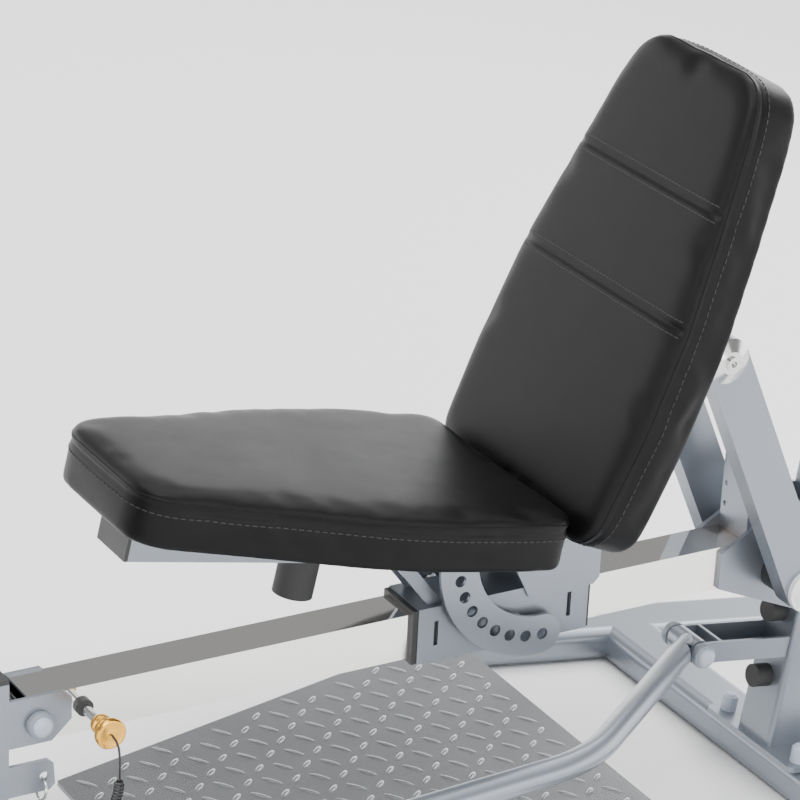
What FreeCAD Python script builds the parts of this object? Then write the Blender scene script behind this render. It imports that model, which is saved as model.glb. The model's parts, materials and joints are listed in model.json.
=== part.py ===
import FreeCAD, Part
import math
import os
import re

from FreeCAD import Placement, Rotation, Vector

# Leg press machine, in millimetres. +X runs to the rear, +Z is up, and the user faces -X, so the
# user's left side is -Y. The origin lies on the floor under the middle of the rear cross tube.

SIZES = {
    # base
    "base_width": 80, "base_height": 40, "base_wall": 3, "base_corner": 14,
    "cross_half_span": 380, "side_tube_y": 334, "side_tube_front": 260, "side_tube_rear": 220,
    "cap_depth": 6, "front_cross_x": -1003, "front_cross_half_span": 240,
    "tread_top": 44, "tread_thick": 4, "tread_rear_x": -260, "tread_front_x": -890,
    "tread_front_half": 40, "tread_rear_half": 311, "bearer_width": 30, "bearer_inset": 16,
    # rail
    "rail_slope": 8.5, "rail_end_x": -135, "rail_end_z": 298, "rail_length": 846,
    "rail_size": 50, "rail_wall": 2.5,
    # front post and foot plate
    "post_size": 60, "post_wall": 3, "post_gap": 22, "post_rise": 22, "gusset_thick": 4,
    "boom_size": 50, "boom_length": 290, "boom_drop": 70, "foot_width": 440, "foot_height": 340,
    "foot_thick": 6, "foot_lean": 14, "foot_post_height": 330,
    # rear head and column
    "column_depth": 80, "column_width": 60, "column_wall": 3, "column_front_x": -42,
    "column_top": 430, "column_corner": 6, "foot_flange_thick": 6, "foot_flange_length": 164,
    "foot_flange_depth": 96, "end_plate_thick": 5, "end_plate_rise": 104, "cheek_thick": 5,
    "bumper_radius": 13, "bumper_length": 20,
    # struts
    "strut_axis_u": 42, "strut_axis_v": -39, "strut_length": 317, "strut_lean": 32.9,
    "strut_width": 50, "strut_thick": 25, "arm_thick": 5, "arm_end_radius": 7, "strut_wall": 3, "strut_inner_y": 60,
    "shaft_radius": 12.5, "top_shaft_radius": 10, "bush_radius": 21, "strut_cap_radius": 24,
    "washer_radius": 25, "running_gap": 0.05, "open_pivot_gap": 4,
    # carriage
    "sleeve_rear_u": -205, "sleeve_length": 207, "liner_thick": 2.5, "sleeve_wall": 4,
    "liner_flange": 6, "pivot_u": -271, "pivot_v": 58, "pivot_radius": 10, "side_plate_thick": 4,
    "quadrant_y": 40, "quadrant_thick": 4, "quadrant_hole_circle": 103, "quadrant_half_width": 22.5,
    "quadrant_hole_radius": 6.5, "hole_pitch": 11.43, "first_hole": -159.7,
    # seat and backrest
    "seat_tilt": 3.2, "seat_top": 73, "seat_thick": 60, "seat_rear": -42, "seat_length": 473,
    "channel_width": 60, "channel_height": 40, "channel_wall": 3, "channel_front": -478,
    "channel_rear": 22, "recline": 15.5, "back_front": -41.7, "back_thick": 65, "back_low": 26,
    "back_length": 505, "back_tube_width": 50, "back_tube_depth": 20, "pad_gap": 0.3,
    "bracket_thick": 5, "buffer_x": -264, "buffer_radius": 21, "buffer_length": 46,
    # side lever
    "lever_x": -161, "lever_z": 166, "lever_radius": 14, "lever_wall": 2, "ear_y": 21,
    "ear_thick": 4, "lever_bracket_width": 50, "lever_bracket_height": 24, "lever_bracket_top": 179,
    "lever_bracket_front_x": -137, "lever_bend_x": -446, "lever_bend_y": -235,
    "lever_end_x": -850, "lever_end_y": -348, "lever_bend_radius": 300, "grip_length": 115,
    # stop pin and lanyard
    "pin_u": -787, "pin_v": -22, "pin_radius": 5, "knob_radius": 16, "knob_neck_radius": 11,
    "knob_face_y": -90, "cord_radius": 1.2, "coil_radius": 6, "ring_radius": 11, "ring_wire": 1.5,
}

doc = FreeCAD.newDocument("leg_press_machine")
sheet = doc.addObject("Spreadsheet::Sheet", "Sizes")
for row, (alias, number) in enumerate(SIZES.items(), start=1):
    sheet.set(f"A{row}", alias)
    sheet.set(f"B{row}", str(number))
    sheet.setAlias(f"B{row}", alias)
doc.recompute()

PARTS = []
Y_AXIS = Vector(0, 1, 0)
ALONG_Y = Rotation(Vector(1, 0, 0), -90)
ALONG_X = Rotation(Y_AXIS, 90)
SIDES = (("left", -1), ("right", 1))


def size(alias):
    """Return the number in a cell of the sheet."""
    return float(sheet.get(alias))


def bound(rule):
    """Turn a rule such as 'rail_size - 2 * rail_wall' into an expression on the sheet."""
    return re.sub(r"\b([a-z][a-z_]+)\b", r"Sizes.\1", rule)


def at(frame, x=0.0, y=0.0, z=0.0, turn=None):
    """Return the placement at a point of a frame, turned with it and then by turn."""
    rotation = frame.Rotation if turn is None else frame.Rotation.multiply(turn)
    return Placement(frame.multVec(Vector(x, y, z)), rotation)


def primitive(kind, name, place, rules):
    """Add a Part primitive whose properties follow rules on the sheet."""
    item = doc.addObject("Part::" + kind, name)
    for key, rule in rules.items():
        item.setExpression(key, bound(rule))
    item.Placement = place
    return item


def box(name, place, length, width, height):
    return primitive("Box", name, place, {"Length": length, "Width": width, "Height": height})


def rod(name, frame, x, y, z, radius, height, turn=ALONG_Y):
    """Add a cylinder that starts at a point of the frame and runs along +Y, or as turned."""
    return primitive("Cylinder", name, at(frame, x, y, z, turn), {"Radius": radius, "Height": height})


def cut(name, base, tools):
    """Cut tools from base with Part booleans."""
    result = base
    for number, tool in enumerate(tools):
        last = number == len(tools) - 1
        step = doc.addObject("Part::Cut", name if last else f"{name}_cut{number}")
        step.Base = result
        step.Tool = tool
        result = step
    return result


def fuse(name, items):
    result = doc.addObject("Part::MultiFuse", name)
    result.Shapes = items
    result.Refine = True
    return result


def group(name, items):
    """Gather separate solids of one kind in one object."""
    result = doc.addObject("Part::Compound", name)
    result.Links = items
    return result


def keep(item, label):
    """Name an object as a sub-part of the machine."""
    item.Label = label
    PARTS.append(item)
    return item


def rounded(points, radii):
    """Return the edges of a closed outline whose corners are arcs of the given radii."""
    corners = []
    count = len(points)
    for index, point in enumerate(points):
        corner = Vector(point[0], point[1], 0)
        before = Vector(points[index - 1][0], points[index - 1][1], 0) - corner
        after = Vector(points[(index + 1) % count][0], points[(index + 1) % count][1], 0) - corner
        before.normalize()
        after.normalize()
        radius = radii[index] if isinstance(radii, (list, tuple)) else radii
        half = before.getAngle(after) / 2
        if radius <= 0 or abs(half - math.pi / 2) < 1e-3:
            corners.append((corner, corner, None))
            continue
        reach = radius / math.tan(half)
        inward = (before + after).normalize()
        centre = corner + inward * (radius / math.sin(half))
        middle = centre - inward * radius
        corners.append((corner + before * reach, corner + after * reach, middle))
    edges = []
    for index, (start, end, middle) in enumerate(corners):
        if middle is not None:
            edges.append(Part.Arc(start, middle, end))
        following = corners[(index + 1) % count][0]
        edges.append(Part.LineSegment(end, following))
    return edges


def rectangle(half_x, half_y, radius=0.0):
    return rounded([(-half_x, -half_y), (half_x, -half_y), (half_x, half_y), (-half_x, half_y)], radius)


def circle(x, y, radius):
    return [Part.Circle(Vector(x, y, 0), Vector(0, 0, 1), radius)]


def pad(name, plane, loops, length, place, reverse=False):
    """Add a body with one sketch of closed loops on an origin plane and one pad."""
    body = doc.addObject("PartDesign::Body", name)
    origin_plane = next(item for item in body.Origin.OriginFeatures if item.Role == plane)
    sketch = body.newObject("Sketcher::SketchObject", name + "_sketch")
    sketch.AttachmentSupport = [(origin_plane, "")]
    sketch.MapMode = "FlatFace"
    for loop in loops:
        for edge in loop:
            sketch.addGeometry(edge, False)
    feature = body.newObject("PartDesign::Pad", name + "_pad")
    feature.Profile = sketch
    feature.setExpression("Length", bound(length))
    feature.Reversed = reverse
    body.Tip = feature
    body.Placement = place
    return body


def plate(name, frame, outline, holes, thick, inner_y, side):
    """Add an upright plate parallel to XZ, from inner_y outwards on one side of the machine."""
    loops = [outline] + [circle(x, z, radius) for x, z, radius in holes]
    return pad(name, "XZ_Plane", loops, thick, at(frame, 0, side * inner_y, 0), reverse=side > 0)


def box_tube(name, frame, x, y, z, length, width, height, wall):
    """Add a rectangular tube along X from the corner (x, y, z), open at both ends."""
    outer = box(name + "_outer", at(frame, x, y, z), length, width, height)
    step = size(wall)
    inner = box(name + "_inner", at(frame, x - 1, y + step, z + step), f"{length} + 2",
                f"{width} - 2 * {wall}", f"{height} - 2 * {wall}")
    return cut(name, outer, [inner])


WORLD = Placement()
RAIL = Placement(Vector(size("rail_end_x"), 0, size("rail_end_z")), Rotation(Y_AXIS, -size("rail_slope")))
PIVOT = RAIL.multVec(Vector(size("pivot_u"), 0, size("pivot_v")))
SEAT = Placement(PIVOT, Rotation(Y_AXIS, size("seat_tilt")))
BACK = Placement(PIVOT, Rotation(Y_AXIS, size("recline")))
STRUT_AXIS = RAIL.multVec(Vector(size("strut_axis_u"), 0, size("strut_axis_v")))
STRUT = Placement(STRUT_AXIS, Rotation(Y_AXIS, -size("strut_lean")))
TOP_AXIS = STRUT.multVec(Vector(0, 0, size("strut_length")))


def flat_oval(shrink=0.0):
    """Return the section of the base's tubes, shrunk by a wall."""
    half_width = size("base_width") / 2 - shrink
    half_height = size("base_height") / 2 - shrink
    return rectangle(half_width, half_height, size("base_corner") - shrink)


def base_tube(name, length, place):
    """Add a flat oval tube that runs along its own +Z from its end."""
    wall = size("base_wall")
    return pad(name, "XY_Plane", [flat_oval(), flat_oval(wall)], length, place)


def base_cap(name, place):
    """Add a plug with a rim for an open tube end, outwards along its own +Z."""
    rim = pad(name + "_rim", "XY_Plane", [flat_oval()], "cap_depth", place)
    inside = place.multVec(Vector(0, 0, -12))
    stub = pad(name + "_stub", "XY_Plane", [flat_oval(size("base_wall") + 0.2)], "12",
               Placement(inside, place.Rotation))
    return fuse(name, [rim, stub])


# Base: a rear cross tube, short side tubes in front of and behind it, and the front cross tube.
CROSS_TURN = Rotation(Vector(1, 0, 0), -90)
FORWARD_TURN = Rotation(Vector(0, 0, 1), 90).multiply(CROSS_TURN)
BACKWARD_TURN = Rotation(Vector(0, 0, 1), -90).multiply(CROSS_TURN)
half_height = size("base_height") / 2
half_width = size("base_width") / 2


def cross_tube(label, x, half_span):
    start = Placement(Vector(x, -size(half_span), half_height), CROSS_TURN)
    keep(base_tube(label, f"2 * {half_span}", start), label)


cross_tube("rear_cross_tube", 0, "cross_half_span")
cross_tube("front_cross_tube", size("front_cross_x"), "front_cross_half_span")

for end_name, turn, length in (("front", FORWARD_TURN, "side_tube_front"),
                               ("rear", BACKWARD_TURN, "side_tube_rear")):
    pair = []
    for side_name, side in SIDES:
        y = side * size("side_tube_y")
        label = f"side_tube_{end_name}_{side_name}"
        tube = base_tube(label + "_run", f"{length} + base_width / 2", Placement(Vector(0, y, half_height), turn))
        notch = pad(label + "_notch", "XY_Plane", [flat_oval()], "2 * cross_half_span",
                    Placement(Vector(0, -size("cross_half_span"), half_height), CROSS_TURN))
        pair.append(cut(label, tube, [notch]))
    keep(group(f"side_tubes_{end_name}", pair), f"side_tubes_{end_name}")

caps = []
for side_name, side in SIDES:
    outward = CROSS_TURN if side > 0 else Rotation(Vector(1, 0, 0), 90)
    caps.append(base_cap(f"rear_cross_cap_{side_name}",
                         Placement(Vector(0, side * size("cross_half_span"), half_height), outward)))
    caps.append(base_cap(f"front_cross_cap_{side_name}",
                         Placement(Vector(size("front_cross_x"), side * size("front_cross_half_span"),
                                          half_height), outward)))
    for end_name, x, turn in (("front", -size("side_tube_front") - half_width, FORWARD_TURN),
                              ("rear", size("side_tube_rear") + half_width, BACKWARD_TURN)):
        caps.append(base_cap(f"side_cap_{end_name}_{side_name}",
                             Placement(Vector(x, side * size("side_tube_y"), half_height), turn)))

# Tread plate: a tapering checker plate on two bearers that stand on the floor.
tread_outline = [(size("tread_front_x"), -size("tread_front_half")), (size("tread_rear_x"), -size("tread_rear_half")),
                 (size("tread_rear_x"), size("tread_rear_half")), (size("tread_front_x"), size("tread_front_half"))]
keep(pad("tread_plate", "XY_Plane", [rounded(tread_outline, 6)], "tread_thick",
         Placement(Vector(0, 0, size("tread_top") - size("tread_thick")), Rotation())), "tread_plate")
taper = math.atan2(size("tread_rear_half") - size("tread_front_half"),
                   size("tread_rear_x") - size("tread_front_x"))
bearer_run = (size("tread_rear_x") - size("tread_front_x")) / math.cos(taper) - 40
bearers = []
for side_name, side in SIDES:
    turn = Rotation(Vector(0, 0, 1), side * math.degrees(taper))
    shift = -size("bearer_inset") if side < 0 else size("bearer_inset")
    inner = size("bearer_width") if side > 0 else 0
    corner = Vector(size("tread_front_x"), side * size("tread_front_half"), 0)
    start = corner + turn.multVec(Vector(20, -shift - inner, 0))
    bearers.append(box(f"bearer_{side_name}", Placement(start, turn), str(round(bearer_run, 1)),
                       "bearer_width", "tread_top - tread_thick"))
keep(group("tread_bearers", bearers), "tread_bearers")

# Rail: a chromed square tube with a cross hole for the stop pin.
rail_half = size("rail_size") / 2
rail_tube = box_tube("rail_tube", RAIL, -size("rail_length"), -rail_half, -size("rail_size"),
                     "rail_length", "rail_size", "rail_size", "rail_wall")
pin_hole = rod("rail_pin_hole", RAIL, size("pin_u"), -rail_half - 5, size("pin_v"),
               "pin_radius + running_gap", "rail_size + 10")
GUSSET_BOLT_U = -size("rail_length") + 10
bolt_hole = rod("rail_bolt_hole", RAIL, GUSSET_BOLT_U, -rail_half - 5, -28, "4 + running_gap", "rail_size + 10")
keep(cut("rail", rail_tube, [pin_hole, bolt_hole]), "rail")

# Front post, square to the rail, with side gussets that carry the rail's front end.
post_front_u = -size("rail_length") - size("post_gap") - size("post_size")
post_half = size("post_size") / 2
post_top = RAIL.multVec(Vector(post_front_u + post_half, 0, size("post_rise")))
post_foot_v = -(post_top.z - size("base_height")) / math.cos(math.radians(size("rail_slope")))
POST = Placement(post_top, RAIL.Rotation)
post_drop = post_top.z / math.cos(math.radians(size("rail_slope"))) + size("post_size")
post_bar = box("post_bar", at(POST, -post_half, -post_half, -post_drop), "post_size", "post_size",
               str(round(post_drop, 2)))
post_core = box("post_core", at(POST, -post_half + size("post_wall"), -post_half + size("post_wall"), -post_drop),
                "post_size - 2 * post_wall", "post_size - 2 * post_wall", str(round(post_drop + 1, 2)))
ground = box("post_ground", Placement(Vector(-1300, -300, -200), Rotation()), "700", "600",
             "200 + base_height")
keep(cut("front_post", post_bar, [post_core, ground]), "front_post")
cap_top = box("post_cap_top", at(POST, -post_half, -post_half, 0), "post_size", "post_size", "5")
cap_plug = box("post_cap_plug", at(POST, -post_half + size("post_wall") + 0.2, -post_half + size("post_wall") + 0.2, -15),
               "post_size - 2 * post_wall - 0.4", "post_size - 2 * post_wall - 0.4", "15")
caps.append(fuse("front_post_cap", [cap_top, cap_plug]))

post_rear_u = -size("rail_length") - size("post_gap")
gusset_points = [(post_rear_u - 30, 2), (-size("rail_length") + 36, 2), (-size("rail_length") + 45, -6),
                 (-size("rail_length") + 45, -30), (-size("rail_length") + 24, -50), (post_rear_u - 30, -50)]
gussets = []
for side_name, side in SIDES:
    gusset = plate(f"gusset_{side_name}_plate", RAIL, rounded(gusset_points, 0),
                   [(GUSSET_BOLT_U, -28, 4 + size("running_gap"))], "gusset_thick", rail_half, side)
    body_cut = box(f"gusset_{side_name}_post", at(POST, -post_half, -post_half, -120),
                   "post_size", "post_size", "130")
    gussets.append(cut(f"rail_gusset_{side_name}", gusset, [body_cut]))
keep(group("rail_gussets", gussets), "rail_gussets")
gusset_outer = rail_half + size("gusset_thick")
bolt_shank = rod("gusset_bolt_shank", RAIL, GUSSET_BOLT_U, -gusset_outer, -28, "4", "rail_size + 2 * gusset_thick")
bolts = [bolt_shank]


def nut_caps(name, frame, x, z, face, radius, depth):
    """Add one domed plastic cap on each side of a bolt."""
    caps_made = []
    for cap_side_name, cap_side in SIDES:
        turn = ALONG_Y if cap_side > 0 else Rotation(Vector(1, 0, 0), 90)
        skirt = rod(f"{name}_{cap_side_name}_skirt", frame, x, cap_side * face, z, radius, f"{depth} * 0.6", turn)
        dome = primitive("Cone", f"{name}_{cap_side_name}_dome",
                         at(frame, x, cap_side * (face + depth * 0.6), z, turn),
                         {"Radius1": f"{radius} * 0.86", "Radius2": f"{radius} * 0.55", "Height": f"{depth} * 0.4"})
        caps_made.append(fuse(f"{name}_{cap_side_name}", [skirt, dome]))
    return caps_made


bolt_caps = nut_caps("rail_cap", RAIL, GUSSET_BOLT_U, -28, gusset_outer, "14", 14)

# Foot plate on a boom ahead of the front post.
boom_z = -size("boom_drop")
BOOM_START = POST.multVec(Vector(-post_half, 0, boom_z))
BOOM = Placement(BOOM_START, Rotation())
boom = box_tube("boom_tube", BOOM, -size("boom_length"), -size("boom_size") / 2, -size("boom_size") / 2,
                "boom_length + 20", "boom_size", "boom_size", "post_wall")
post_block = box("boom_trim", at(POST, -post_half, -post_half, -300), "post_size + 100", "post_size", "400")
keep(cut("foot_boom", boom, [post_block]), "foot_boom")
FOOT = at(BOOM, -size("boom_length"), 0, -size("boom_size") / 2)
upright = box_tube("foot_upright_tube", Placement(FOOT.Base, Rotation(Y_AXIS, -90)), 0,
                   -size("boom_size") / 2, 0, "foot_post_height", "boom_size", "boom_size", "post_wall")
keep(upright, "foot_upright")
upright_top = FOOT.Base + Vector(-size("boom_size"), -size("boom_size") / 2, size("foot_post_height"))
caps.append(box("foot_upright_cap", Placement(upright_top, Rotation()), "boom_size", "boom_size", "5"))
PLATE = Placement(FOOT.Base + Vector(14, 0, size("foot_post_height") * 0.42), Rotation(Y_AXIS, -size("foot_lean")))
foot_plate = box("foot_plate_panel", at(PLATE, 60, -size("foot_width") / 2, -60), "foot_thick", "foot_width",
                 "foot_height")
keep(foot_plate, "foot_plate")
ribs = []
lean = math.tan(math.radians(size("foot_lean")))
plate_back = PLATE.multVec(Vector(60, 0, 0))
rib_low = plate_back.z + 20
rib_high = plate_back.z + 150
rib_outline = [(FOOT.Base.x, rib_low), (plate_back.x - (rib_low - plate_back.z) * lean, rib_low),
               (plate_back.x - (rib_high - plate_back.z) * lean, rib_high), (FOOT.Base.x, rib_high)]
for side_name, side in SIDES:
    ribs.append(plate(f"foot_rib_{side_name}", WORLD, rounded(rib_outline, 0), [], "bracket_thick", 8, side))
keep(group("foot_plate_ribs", ribs), "foot_plate_ribs")

# Column on its foot flange, with the end plate and two cheeks that carry the struts' shaft.
column_half = size("column_width") / 2
column_mid_x = size("column_front_x") + size("column_depth") / 2
flange_top = size("base_height") + size("foot_flange_thick")
wall = size("column_wall")
column_loops = [rectangle(size("column_depth") / 2, column_half, size("column_corner")),
                rectangle(size("column_depth") / 2 - wall, column_half - wall, size("column_corner") - wall)]
keep(pad("column", "XY_Plane", column_loops, "column_top - base_height - foot_flange_thick",
         Placement(Vector(column_mid_x, 0, flange_top), Rotation())), "column")
column_cap = pad("column_cap_top", "XY_Plane", column_loops[:1], "6",
                 Placement(Vector(column_mid_x, 0, size("column_top")), Rotation()))
caps.append(column_cap)
keep(group("tube_end_caps", caps), "tube_end_caps")
flange_bolts = []
flange_holes = []
for x in (column_mid_x - 26, column_mid_x + 26):
    for y in (-size("foot_flange_length") / 2 + 15, size("foot_flange_length") / 2 - 15):
        flange_holes.append((x, y))
flange_loops = [rounded([(column_mid_x - size("foot_flange_depth") / 2, -size("foot_flange_length") / 2),
                         (column_mid_x + size("foot_flange_depth") / 2, -size("foot_flange_length") / 2),
                         (column_mid_x + size("foot_flange_depth") / 2, size("foot_flange_length") / 2),
                         (column_mid_x - size("foot_flange_depth") / 2, size("foot_flange_length") / 2)], 10)]
flange_loops += [circle(x, y, 5.2) for x, y in flange_holes]
keep(pad("column_flange", "XY_Plane", flange_loops, "foot_flange_thick",
         Placement(Vector(0, 0, size("base_height")), Rotation())), "column_flange")
for number, (x, y) in enumerate(flange_holes):
    shank = primitive("Cylinder", f"flange_shank_{number}", Placement(Vector(x, y, size("base_height")), Rotation()),
                      {"Radius": "5", "Height": "foot_flange_thick + 4"})
    cap = primitive("Cylinder", f"flange_cap_{number}", Placement(Vector(x, y, flange_top), Rotation()),
                    {"Radius": "9", "Height": "17"})
    top = primitive("Cone", f"flange_dome_{number}", Placement(Vector(x, y, flange_top + 17), Rotation()),
                    {"Radius1": "9", "Radius2": "6", "Height": "3"})
    flange_bolts.append(fuse(f"flange_bolt_{number}", [shank, cap, top]))
keep(group("flange_bolts", flange_bolts), "flange_bolts")

end_plate = box("end_plate_bar", at(RAIL, 0, -rail_half, -size("rail_size")), "end_plate_thick", "rail_size",
                "rail_size + end_plate_rise")
plate_holes = [rod(f"end_plate_hole_{number}", RAIL, -2, rail_half - 7, z, "3", "end_plate_thick + 4", ALONG_X)
               for number, z in enumerate((28, 52, 88))]
keep(cut("rail_end_plate", end_plate, plate_holes), "rail_end_plate")
front_low = RAIL.multVec(Vector(-34, 0, -48))
front_high = RAIL.multVec(Vector(-34, 0, -6))
cheek_outline = [(front_low.x, front_low.z), (size("column_front_x"), 214), (size("column_front_x"), 345),
                 (size("column_front_x") - 52, 345), (front_high.x, front_high.z)]
cheeks = []
for side_name, side in SIDES:
    cheek = plate(f"cheek_{side_name}_plate", WORLD, rounded(cheek_outline, 0),
                  [(STRUT_AXIS.x, STRUT_AXIS.z, size("shaft_radius") + size("running_gap"))],
                  "cheek_thick", rail_half, side)
    cheeks.append(cheek)
keep(group("head_cheeks", cheeks), "head_cheeks")

bumpers = []
for number, z in enumerate((202, 122)):
    bumpers.append(rod(f"bumper_{number}", WORLD, size("column_front_x"), 0, z, "bumper_radius", "bumper_length",
                       Rotation(Y_AXIS, -90)))
keep(group("column_bumpers", bumpers), "column_bumpers")

# Struts: two flat links on one shaft, joined at the top by a second shaft.
half = size("strut_width") / 2
strut_run = size("strut_length")


def link_outline(radius):
    """Return an obround about the two pivots of a strut."""
    low_right = Vector(radius, 0, 0)
    high_right = Vector(radius, strut_run, 0)
    high_left = Vector(-radius, strut_run, 0)
    low_left = Vector(-radius, 0, 0)
    return [Part.LineSegment(low_right, high_right),
            Part.Arc(high_right, Vector(0, strut_run + radius, 0), high_left),
            Part.LineSegment(high_left, low_left),
            Part.Arc(low_left, Vector(0, -radius, 0), low_right)]


outer_y = size("strut_inner_y") + size("strut_thick")
for side_name, side in SIDES:
    link = plate(f"strut_{side_name}_link", STRUT, link_outline(half),
                 [(0, 0, size("shaft_radius")), (0, strut_run, size("top_shaft_radius"))],
                 "strut_thick", size("strut_inner_y"), side)
    hollow_low, hollow_high = 40.0, strut_run - 40.0
    core_y = side * (size("strut_inner_y") + size("strut_wall")) - (size("strut_thick") - 2 * size("strut_wall")
                                                                    if side < 0 else 0)
    core = box(f"strut_{side_name}_core", at(STRUT, -half + size("strut_wall"), core_y, hollow_low),
               "strut_width - 2 * strut_wall", "strut_thick - 2 * strut_wall", str(hollow_high - hollow_low))
    keep(cut(f"strut_{side_name}", link, [core]), f"strut_{side_name}")
keep(rod("strut_shaft_bar", STRUT, 0, -outer_y, 0, "shaft_radius", "2 * (strut_inner_y + strut_thick)"),
     "strut_shaft")
keep(rod("strut_top_bar", STRUT, 0, -outer_y, strut_run, "top_shaft_radius", "2 * (strut_inner_y + strut_thick)"),
     "strut_top_shaft")
bushes = []
lower_caps = []
washers = []
cheek_outer = rail_half + size("cheek_thick")
for side_name, side in SIDES:
    start = cheek_outer + 0.3
    low = start if side > 0 else -size("strut_inner_y")
    ring = rod(f"bush_{side_name}_ring", STRUT, 0, low, 0, "bush_radius", str(size("strut_inner_y") - start))
    bore = rod(f"bush_{side_name}_bore", STRUT, 0, low - 1, 0, "shaft_radius", str(size("strut_inner_y") - start + 2))
    bushes.append(cut(f"bush_{side_name}", ring, [bore]))
    turn = ALONG_Y if side > 0 else Rotation(Vector(1, 0, 0), 90)
    disc = rod(f"strut_cap_{side_name}_disc", STRUT, 0, side * outer_y, 0, "strut_cap_radius", "6", turn)
    dome = primitive("Cone", f"strut_cap_{side_name}_dome", at(STRUT, 0, side * (outer_y + 6), 0, turn),
                     {"Radius1": "strut_cap_radius - 3", "Radius2": "strut_cap_radius - 9", "Height": "3"})
    lower_caps.append(fuse(f"strut_cap_{side_name}", [disc, dome]))
    washer = primitive("Cone", f"washer_{side_name}_dome", at(STRUT, 0, side * outer_y, strut_run, turn),
                       {"Radius1": "washer_radius", "Radius2": "washer_radius * 0.5", "Height": "7"})
    head = rod(f"washer_{side_name}_head", STRUT, 0, side * (outer_y + 7), strut_run, "7.5", "3", turn)
    socket = rod(f"washer_{side_name}_socket", STRUT, 0, side * (outer_y + 5), strut_run, "3.5", "6", turn)
    washers.append(cut(f"washer_{side_name}", fuse(f"washer_{side_name}_whole", [washer, head]), [socket]))
keep(group("strut_bushes", bushes), "strut_bushes")
keep(group("strut_lower_caps", lower_caps), "strut_lower_caps")
keep(group("strut_top_washers", washers), "strut_top_washers")

# Carriage: a sleeve with plastic liners that slides on the rail.
sleeve_half = rail_half + size("liner_thick") + size("sleeve_wall")
sleeve_front_u = size("sleeve_rear_u") - size("sleeve_length")
sleeve_low = -size("rail_size") - size("liner_thick") - size("sleeve_wall")
sleeve = box_tube("sleeve_tube", RAIL, sleeve_front_u, -sleeve_half, sleeve_low, "sleeve_length",
                  "rail_size + 2 * (liner_thick + sleeve_wall)", "rail_size + 2 * (liner_thick + sleeve_wall)",
                  "sleeve_wall")
slots = [box(f"sleeve_slot_{number}", at(RAIL, u, -sleeve_half - 1, -38), "5", "sleeve_wall + 2", "28")
         for number, u in enumerate((sleeve_front_u + 19, sleeve_front_u + 181))]
keep(cut("carriage_sleeve", sleeve, slots), "carriage_sleeve")
liner_half = rail_half + size("liner_thick")
liners = []
for end_name, start_u, flange_u in (("front", sleeve_front_u, sleeve_front_u - size("liner_flange")),
                                    ("rear", size("sleeve_rear_u") - 50, size("sleeve_rear_u"))):
    body = box(f"liner_{end_name}_body", at(RAIL, start_u, -liner_half, -size("rail_size") - size("liner_thick")),
               "50", "rail_size + 2 * liner_thick", "rail_size + 2 * liner_thick")
    flange_length = "liner_flange" if end_name == "front" else "liner_flange / 2"
    flange = box(f"liner_{end_name}_flange", at(RAIL, flange_u, -sleeve_half + 1, sleeve_low + 1), flange_length,
                 "rail_size + 2 * (liner_thick + sleeve_wall) - 2", "rail_size + 2 * (liner_thick + sleeve_wall) - 2")
    bore = box(f"liner_{end_name}_bore", at(RAIL, start_u - 20, -rail_half - 0.1, -size("rail_size") - 0.1),
               "100", "rail_size + 0.2", "rail_size + 0.2")
    liners.append(cut(f"liner_{end_name}", fuse(f"liner_{end_name}_whole", [body, flange]), [bore]))
keep(group("carriage_liners", liners), "carriage_liners")

rear_u = size("sleeve_rear_u")
pivot_u, pivot_v = size("pivot_u"), size("pivot_v")
side_plate_points = [(rear_u - 76, -4), (rear_u + 3, -4), (rear_u + 10, 3), (rear_u + 10, pivot_v - 18),
                     (rear_u, pivot_v - 10), (pivot_u + 39, pivot_v - 10), (pivot_u + 22, pivot_v + 4),
                     (pivot_u + 8, pivot_v + 18), (pivot_u - 22, pivot_v + 18), (pivot_u - 31, pivot_v + 8),
                     (pivot_u - 31, pivot_v - 22)]
carriage_plates = []
for side_name, side in SIDES:
    carriage_plates.append(plate(f"carriage_plate_{side_name}", RAIL, rounded(side_plate_points, 0),
                                 [(size("pivot_u"), size("pivot_v"), size("pivot_radius") + size("running_gap"))],
                                 "side_plate_thick", sleeve_half, side))
keep(group("carriage_plates", carriage_plates), "carriage_plates")


def quadrant_outline():
    """Return a ring sector about the pivot with round ends, in world directions."""
    middle = size("quadrant_hole_circle")
    reach = size("quadrant_half_width")
    first = math.radians(size("first_hole") - size("hole_pitch"))
    last = math.radians(size("first_hole") + 7 * size("hole_pitch"))

    def spot(radius, angle):
        return Vector(radius * math.cos(angle), radius * math.sin(angle), 0)

    def end_cap(angle, direction):
        centre = spot(middle, angle)
        return centre + Vector(-math.sin(angle), math.cos(angle), 0) * (direction * reach)

    between = (first + last) / 2
    return [Part.Arc(spot(middle + reach, first), spot(middle + reach, between), spot(middle + reach, last)),
            Part.Arc(spot(middle + reach, last), end_cap(last, 1), spot(middle - reach, last)),
            Part.Arc(spot(middle - reach, last), spot(middle - reach, between), spot(middle - reach, first)),
            Part.Arc(spot(middle - reach, first), end_cap(first, -1), spot(middle + reach, first))]


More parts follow.
